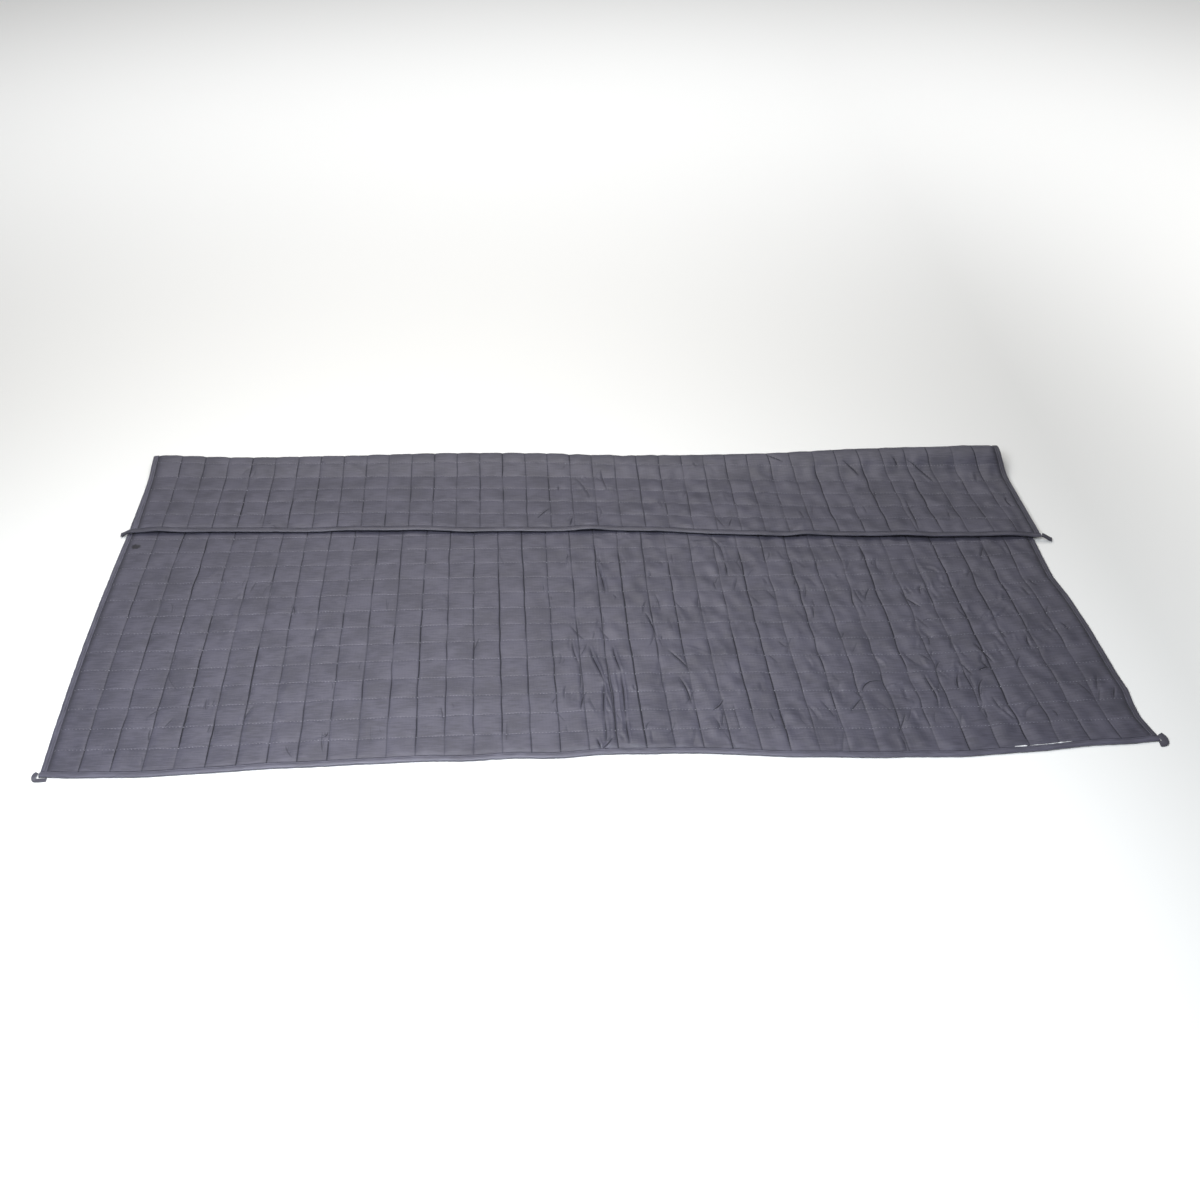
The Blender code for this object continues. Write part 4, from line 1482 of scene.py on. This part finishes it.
# ---------------------------------------------------------------- corner loops
@dataclass
class CornerLoop:
    """Loop of narrow woven tape caught in a corner of the binding."""

    lie: Lie
    name: str
    side: int                       # -1 at the left edge, +1 at the right edge
    row: int                        # hem whose corner it is on: row 0 or the last row
    width: float
    path: tuple = ()                # rows of out, forward, height; empty for a hanging loop
    turn_deg: float = 0.0           # hanging loop: how far it points to the front of straight out
    drop: float = 0.0               # hanging loop: how far its end hangs below its root
    length: float = 0.0230
    slit: float = 0.8 * MM
    tape: float = 1.6 * MM
    gap: float = 0.3 * MM
    binding: float = 0.0120
    sides: int = 16                 # points around the tape's section
    flatness: tuple[float, float] = (0.35, 0.6)     # exponents of the section's width and height

    def corner(self) -> Array:
        """Outer front corner of the hem's binding, at the middle of its thickness.

        Returns:
            The point.
        """
        u = np.array([0.0 if self.side < 0 else float(self.lie.columns)])
        reach = self.gap + self.binding
        return self.lie.middle(u, np.array([float(self.row)]))[0] + (self.side * reach, -reach, 0.0)

    def smooth(self, points: Array, steps: int) -> Array:
        """Cubic curve through points, whose slope at each is that of its two neighbours.

        Args:
            points: points of the curve.
            steps: number of points from each to the next.

        Returns:
            The curve's points.
        """
        slopes = np.gradient(points, axis=0)
        t = (np.arange(steps) / steps)[None, :, None]
        curve = cubic(t, points[:-1, None], points[1:, None], slopes[:-1, None], slopes[1:, None])
        return np.concatenate([curve.reshape(-1, 3), points[-1:]])

    def flat_route(self) -> tuple[Array, Array, Array]:
        """Route of a loop that lies flat, on a curve through the points of its path.

        Returns:
            Centres, width directions, thickness directions.
        """
        centres = self.smooth(np.array(self.path) * (self.side, -1.0, 1.0), 8)
        centres = centres + self.corner() * (1.0, 1.0, 0.0)
        heading = np.gradient(centres, axis=0)
        across = np.stack([-heading[:, 1], heading[:, 0], np.zeros(len(heading))], axis=-1)
        across /= np.linalg.norm(across, axis=1, keepdims=True)
        return centres, across, np.tile((0.0, 0.0, 1.0), (len(centres), 1))

    def hanging_route(self) -> tuple[Array, Array, Array]:
        """Route of a loop that hangs: out below, round its end and back on top.

        The end is half a circle, and the whole sinks on a smooth step towards its end.

        Returns:
            Centres, width directions, thickness directions.
        """
        bend = (self.slit + self.tape) / 2.0
        straight = self.length - bend - self.tape / 2.0
        out = np.linspace(0.0, straight, 9)
        turn = math.pi * (np.arange(1, 10) / 10.0 - 0.5)
        x = np.concatenate([out, straight + bend * np.cos(turn), out[::-1]])
        angle = np.concatenate([np.full_like(out, -math.pi / 2), turn, np.full_like(out, math.pi / 2)])
        z = bend * np.sin(angle) - self.drop * ease(x / self.length)
        level = math.radians(self.turn_deg)
        heading = level - math.pi if self.side < 0 else -level
        way = np.array([math.cos(heading), math.sin(heading), 0.0])
        room = self.gap + self.width / 2.0 * math.sin(level)
        root = self.corner() + (self.side * room, self.binding / 2.0, 0.0)
        centres = root + x[:, None] * way + z[:, None] * UP
        up = np.cos(angle)[:, None] * way + np.sin(angle)[:, None] * UP
        across = np.tile((-way[1], way[0], 0.0), (len(x), 1))
        return centres, across, up

    def build(self, tape: Material) -> Object:
        """Sweep the tape's rounded section along the loop's route.

        Args:
            tape: finish of the loop.

        Returns:
            The loop.
        """
        centres, across, up = self.flat_route() if self.path else self.hanging_route()
        angle = 2.0 * math.pi * np.arange(self.sides) / self.sides
        wide = np.sign(np.cos(angle)) * np.abs(np.cos(angle)) ** self.flatness[0] * self.width / 2.0
        high = np.sign(np.sin(angle)) * np.abs(np.sin(angle)) ** self.flatness[1] * self.tape / 2.0
        rings = centres[:, None] + wide[None, :, None] * across[:, None] + high[None, :, None] * up[:, None]
        uv = np.stack(np.broadcast_arrays(distance_along(centres)[:, None], wide[None, :]), axis=-1)
        surface = Surface(self.name + "_tape")
        surface.tube(rings, uv)
        loop = surface.build(tape, sharp_deg=50.0)
        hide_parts(self.name)
        return loop


LOOP_TABLE = (
    {"name": "loop_front_left", "side": -1, "row": 0, "width": 0.0085, "path": (
        (0.0043, -0.0105, 0.0042),
        (0.0067, -0.0060, 0.0046),
        (0.0078, -0.0005, 0.0036),
        (0.0056, 0.0048, 0.0018),
        (0.0000, 0.0057, 0.0013),
        (-0.0150, 0.0047, 0.0012),
    )},
    {"name": "loop_front_right", "side": 1, "row": 0, "width": 0.0135, "path": (
        (0.0042, -0.0165, 0.0036),
        (0.0090, -0.0085, 0.0032),
        (0.0088, 0.0010, 0.0024),
        (0.0042, 0.0060, 0.0016),
        (-0.0025, 0.0058, 0.0013),
    )},
    {"name": "loop_far_left", "side": -1, "row": 25, "width": 0.0110, "turn_deg": 7.0, "drop": 0.0075},
    {"name": "loop_far_right", "side": 1, "row": 25, "width": 0.0110, "turn_deg": 20.0, "drop": 0.0075},
)


# ---------------------------------------------------------------- open seam
class Sliver(NamedTuple):
    """Stretch of the front seam where a thread of white wadding shows."""

    u0: float
    u1: float
    width: float        # mm


SLIVERS = (
    Sliver(32.50, 32.92, 2.8),
    Sliver(32.98, 33.62, 1.1),
    Sliver(33.55, 34.40, 1.3),
)


@dataclass
class OpenSeam:
    """White wadding that shows in the front seam, a flattened strand for each stretch."""

    lie: Lie
    sides: int = 8
    sections: int = 25
    rise: float = 1.5 * MM          # height of the strand's section
    above: float = 0.3 * MM         # height of its middle over the cloth beside it
    gap: float = 0.15 * MM          # strand's middle in front of the cloth's edge
    thin: float = 0.12              # width of its two ends, as a share of its greatest

    def build(self, wadding: Material) -> Object:
        """Sweep a tapering oval along each stretch of the seam.

        The strand's half width is its greatest times the root of a sine of the place along it.

        Args:
            wadding: finish of the strands.

        Returns:
            The strands as one piece.
        """
        surface = Surface("open_seam_wadding")
        angle = 2.0 * math.pi * np.arange(self.sides) / self.sides
        t = np.linspace(0.0, 1.0, self.sections)
        bulge = np.sqrt(np.clip(np.sin(math.pi * t), 0.0, 1.0))
        for number, sliver in enumerate(SLIVERS):
            u = sliver.u0 + (sliver.u1 - sliver.u0) * t
            uneven = 1.0 + 0.25 * waves(6.0 * u, np.zeros_like(u), 60 + number, 0.5, 1.5)
            taper = ((self.thin + (1.0 - self.thin) * bulge) * uneven)[:, None]
            centres = self.lie.middle(u, np.zeros_like(u)) - (0.0, self.gap, 0.0)
            centres[:, 2] = self.lie.cloth + self.above
            wide = taper * np.cos(angle) * sliver.width * MM / 2.0
            high = taper * np.sin(angle) * self.rise / 2.0
            surface.tube(centres[:, None] + np.stack([np.zeros_like(wide), wide, high], axis=-1))
        strands = surface.build(wadding)
        return strands


# ---------------------------------------------------------------- studio
class SoftBox(NamedTuple):
    """Soft rectangular light."""

    name: str
    place: tuple[float, float, float]
    aim: tuple[float, float, float]     # point that it faces
    size: tuple[float, float]           # width and height, metres
    watts: float
    colour: str                         # sRGB


SOFT_BOXES = (
    SoftBox("soft_box_left", (-0.45, 0.60, 1.75), (-0.40, 0.50, 0.00), (1.5, 1.0), 12.0, "fff8ee"),
    SoftBox("soft_box_front_left", (-0.42, -1.15, 1.60), (-0.37, -0.95, 0.00), (1.4, 1.2), 58.0, "f6fbff"),
    SoftBox("far_floor", (0.00, 2.40, 3.00), (0.00, 5.50, 0.00), (6.0, 1.4), 152.0, "fdfeff"),
    SoftBox("right_floor", (1.70, -0.30, 2.20), (2.65, -0.30, 1.95), (3.4, 0.8), 112.0, "fffffe"),
)


@dataclass(frozen=True)
class Studio:
    """White sweep, soft overhead light and the camera in front of the blanket."""

    lie: Lie
    focal_pixels: float = 1370.0    # focal length in pixels of the 1200 pixel frame
    frame_pixels: float = 1200.0
    sensor_mm: float = 36.0
    pitch_deg: float = 38.0         # how far the camera looks down
    yaw_deg: float = 2.8            # how far it looks to the right of straight ahead
    foot: tuple[float, float] = (16.80, -33.16)     # cells from column 0 and row 0
    height: float = 32.5            # cells
    floor_size: float = 60.0
    floor_drop: float = 0.2 * MM    # keeps the floor out of the plane of the blanket's underside
    sun_from: tuple[float, float, float] = (0.0, 0.53, 0.85)    # direction from the floor
    sun_spread_deg: float = 42.0    # how wide it looks from there, like a bright ceiling
    sun_strength: float = 0.32      # watts per square metre
    sun_colour: str = "fff8ee"
    room_light: float = 0.13
    room_colour: str = "f7f9fc"

    def camera(self) -> None:
        """Place the camera at the angle and distance solved from the blanket's grid."""
        data = bpy.data.cameras.new("camera")
        data.sensor_width = self.sensor_mm
        data.lens = self.focal_pixels / self.frame_pixels * self.sensor_mm
        data.clip_end = 200.0
        camera = link("camera", data)
        place = (self.foot[0] - self.lie.middle_u, self.foot[1] - self.lie.middle_v, self.height)
        camera.location = [length * self.lie.cell for length in place]
        camera.rotation_euler = (math.radians(90.0 - self.pitch_deg), 0.0, math.radians(-self.yaw_deg))
        bpy.context.scene.camera = camera

    def lamp(self, name: str, kind: str, way: Vector, power: float, colour: str) -> Object:
        """Add a light.

        Args:
            name: the light's name.
            kind: AREA or SUN.
            way: direction that it shines in.
            power: watts, or watts per square metre for a sun.
            colour: sRGB hex value.

        Returns:
            The light.
        """
        data = bpy.data.lights.new(name, kind)
        data.energy = power
        data.color = linear(colour)[:3]
        lamp = link(name, data)
        lamp.rotation_euler = way.to_track_quat("-Z", "Y").to_euler()
        return lamp

    def lights(self) -> None:
        """Add the soft boxes and an even light over the whole floor."""
        for box in SOFT_BOXES:
            lamp = self.lamp(box.name, "AREA", Vector(box.aim) - Vector(box.place), box.watts, box.colour)
            lamp.location = box.place
            lamp.data.shape = "RECTANGLE"
            lamp.data.size, lamp.data.size_y = box.size
        sun = self.lamp("ceiling_behind", "SUN", -Vector(self.sun_from), self.sun_strength, self.sun_colour)
        sun.data.angle = math.radians(self.sun_spread_deg)

    def floor(self) -> None:
        """Lay the sheet of paper under the blanket."""
        half = self.floor_size / 2.0
        signs = ((-1, -1), (1, -1), (1, 1), (-1, 1))
        mesh = bpy.data.meshes.new("floor")
        mesh.from_pydata([(x * half, y * half, -self.floor_drop) for x, y in signs], [], [(0, 1, 2, 3)])
        mesh.materials.append(PaperSweep().make())
        link("floor", mesh)

    def build(self) -> None:
        """Make the floor, the lights, the room's fill and the camera."""
        self.floor()
        world = bpy.data.worlds.new("room")
        world.use_nodes = True
        background = world.node_tree.nodes["Background"]
        background.inputs["Color"].default_value = linear(self.room_colour)
        background.inputs["Strength"].default_value = self.room_light
        bpy.context.scene.world = world
        self.lights()
        self.camera()
        bpy.context.scene.view_settings.view_transform = "Standard"


def make_bindings(lie: Lie, stitching: Stitching, thread: Material) -> list[Object]:
    """Make the four strips of binding and their topstitching.

    Args:
        lie: how the cloth lies.
        stitching: size of the stitches.
        thread: finish of the stitches, the darker copy of the thread that stands for painted shade in the
            stitched grooves.

    Returns:
        The strips, and the stitches as one last piece.
    """
    # painted light and shade: two copies of one binding cloth, the lighter on the front and left strips, the
    # darker on the right and far strips that lie in the blanket's shade
    lit = WovenCloth("anthracite_binding_cloth", "484755", "161520", "646273", marked=True).make()
    crumpling_and_shaded_binding = WovenCloth("anthracite_binding_cloth_painted_shade", "3c3b47", "161520", "565463", marked=True).make()
    finishes = {Side.FRONT: lit, Side.LEFT: lit, Side.RIGHT: crumpling_and_shaded_binding, Side.FAR: crumpling_and_shaded_binding}
    bindings = [Binding(lie, side) for side in (Side.FRONT, Side.LEFT, Side.RIGHT)]
    bindings.append(Binding(lie, Side.FAR, thick=0.0050, stitch_sink=0.3 * MM))
    strips = [binding.build(finishes[binding.side]) for binding in bindings]
    surface = Surface("binding_stitches")
    for binding in bindings:
        binding.stitches(surface, stitching)
    stitches = surface.build(thread)
    return [*strips, stitches]


def main() -> None:
    """Build every piece in order and report it."""
    logging.basicConfig(level=logging.INFO, format="%(name)s: %(message)s")
    lie = Lie()
    quilting = Quilting(lie)
    quilt_cloth = WovenCloth("anthracite_quilt_cloth", "3f3e4b", "161520", "5d5b6b", cell=lie.cell,
                             marked=True, smudge=(0.32, 12.45)).make()
    tape = WovenCloth("anthracite_loop_tape", "3f3e49", "1c1b26", "5a5865", ripple=2.6 * math.pi * MM,
                      weave_bump=0.12 * MM).make()
    light_thread = Thread("grey_quilting_thread", "a6a6b1").make()
    # painted shade: a darker copy of the same thread, for the stitches that lie in the shade of the column
    # and binding grooves
    shaded_thread = Thread("quilting_thread_painted_shade", "40404d").make()
    wadding = Thread("white_polyester_wadding", "e6e6ea", roughness=0.9, ripple=6.0 * math.pi * MM).make()

    bodies = [QuiltedBody(lie, quilting, stretch).build(quilt_cloth) for stretch in Stretch]
    stitching = Stitching(lie, quilting)
    stitches = stitching.build(light_thread, shaded_thread)
    bindings = make_bindings(lie, stitching, shaded_thread)
    loops = [CornerLoop(lie=lie, **row).build(tape) for row in LOOP_TABLE]
    strands = OpenSeam(lie).build(wadding)

    Studio(lie).build()


if __name__ == "__main__":
    main()
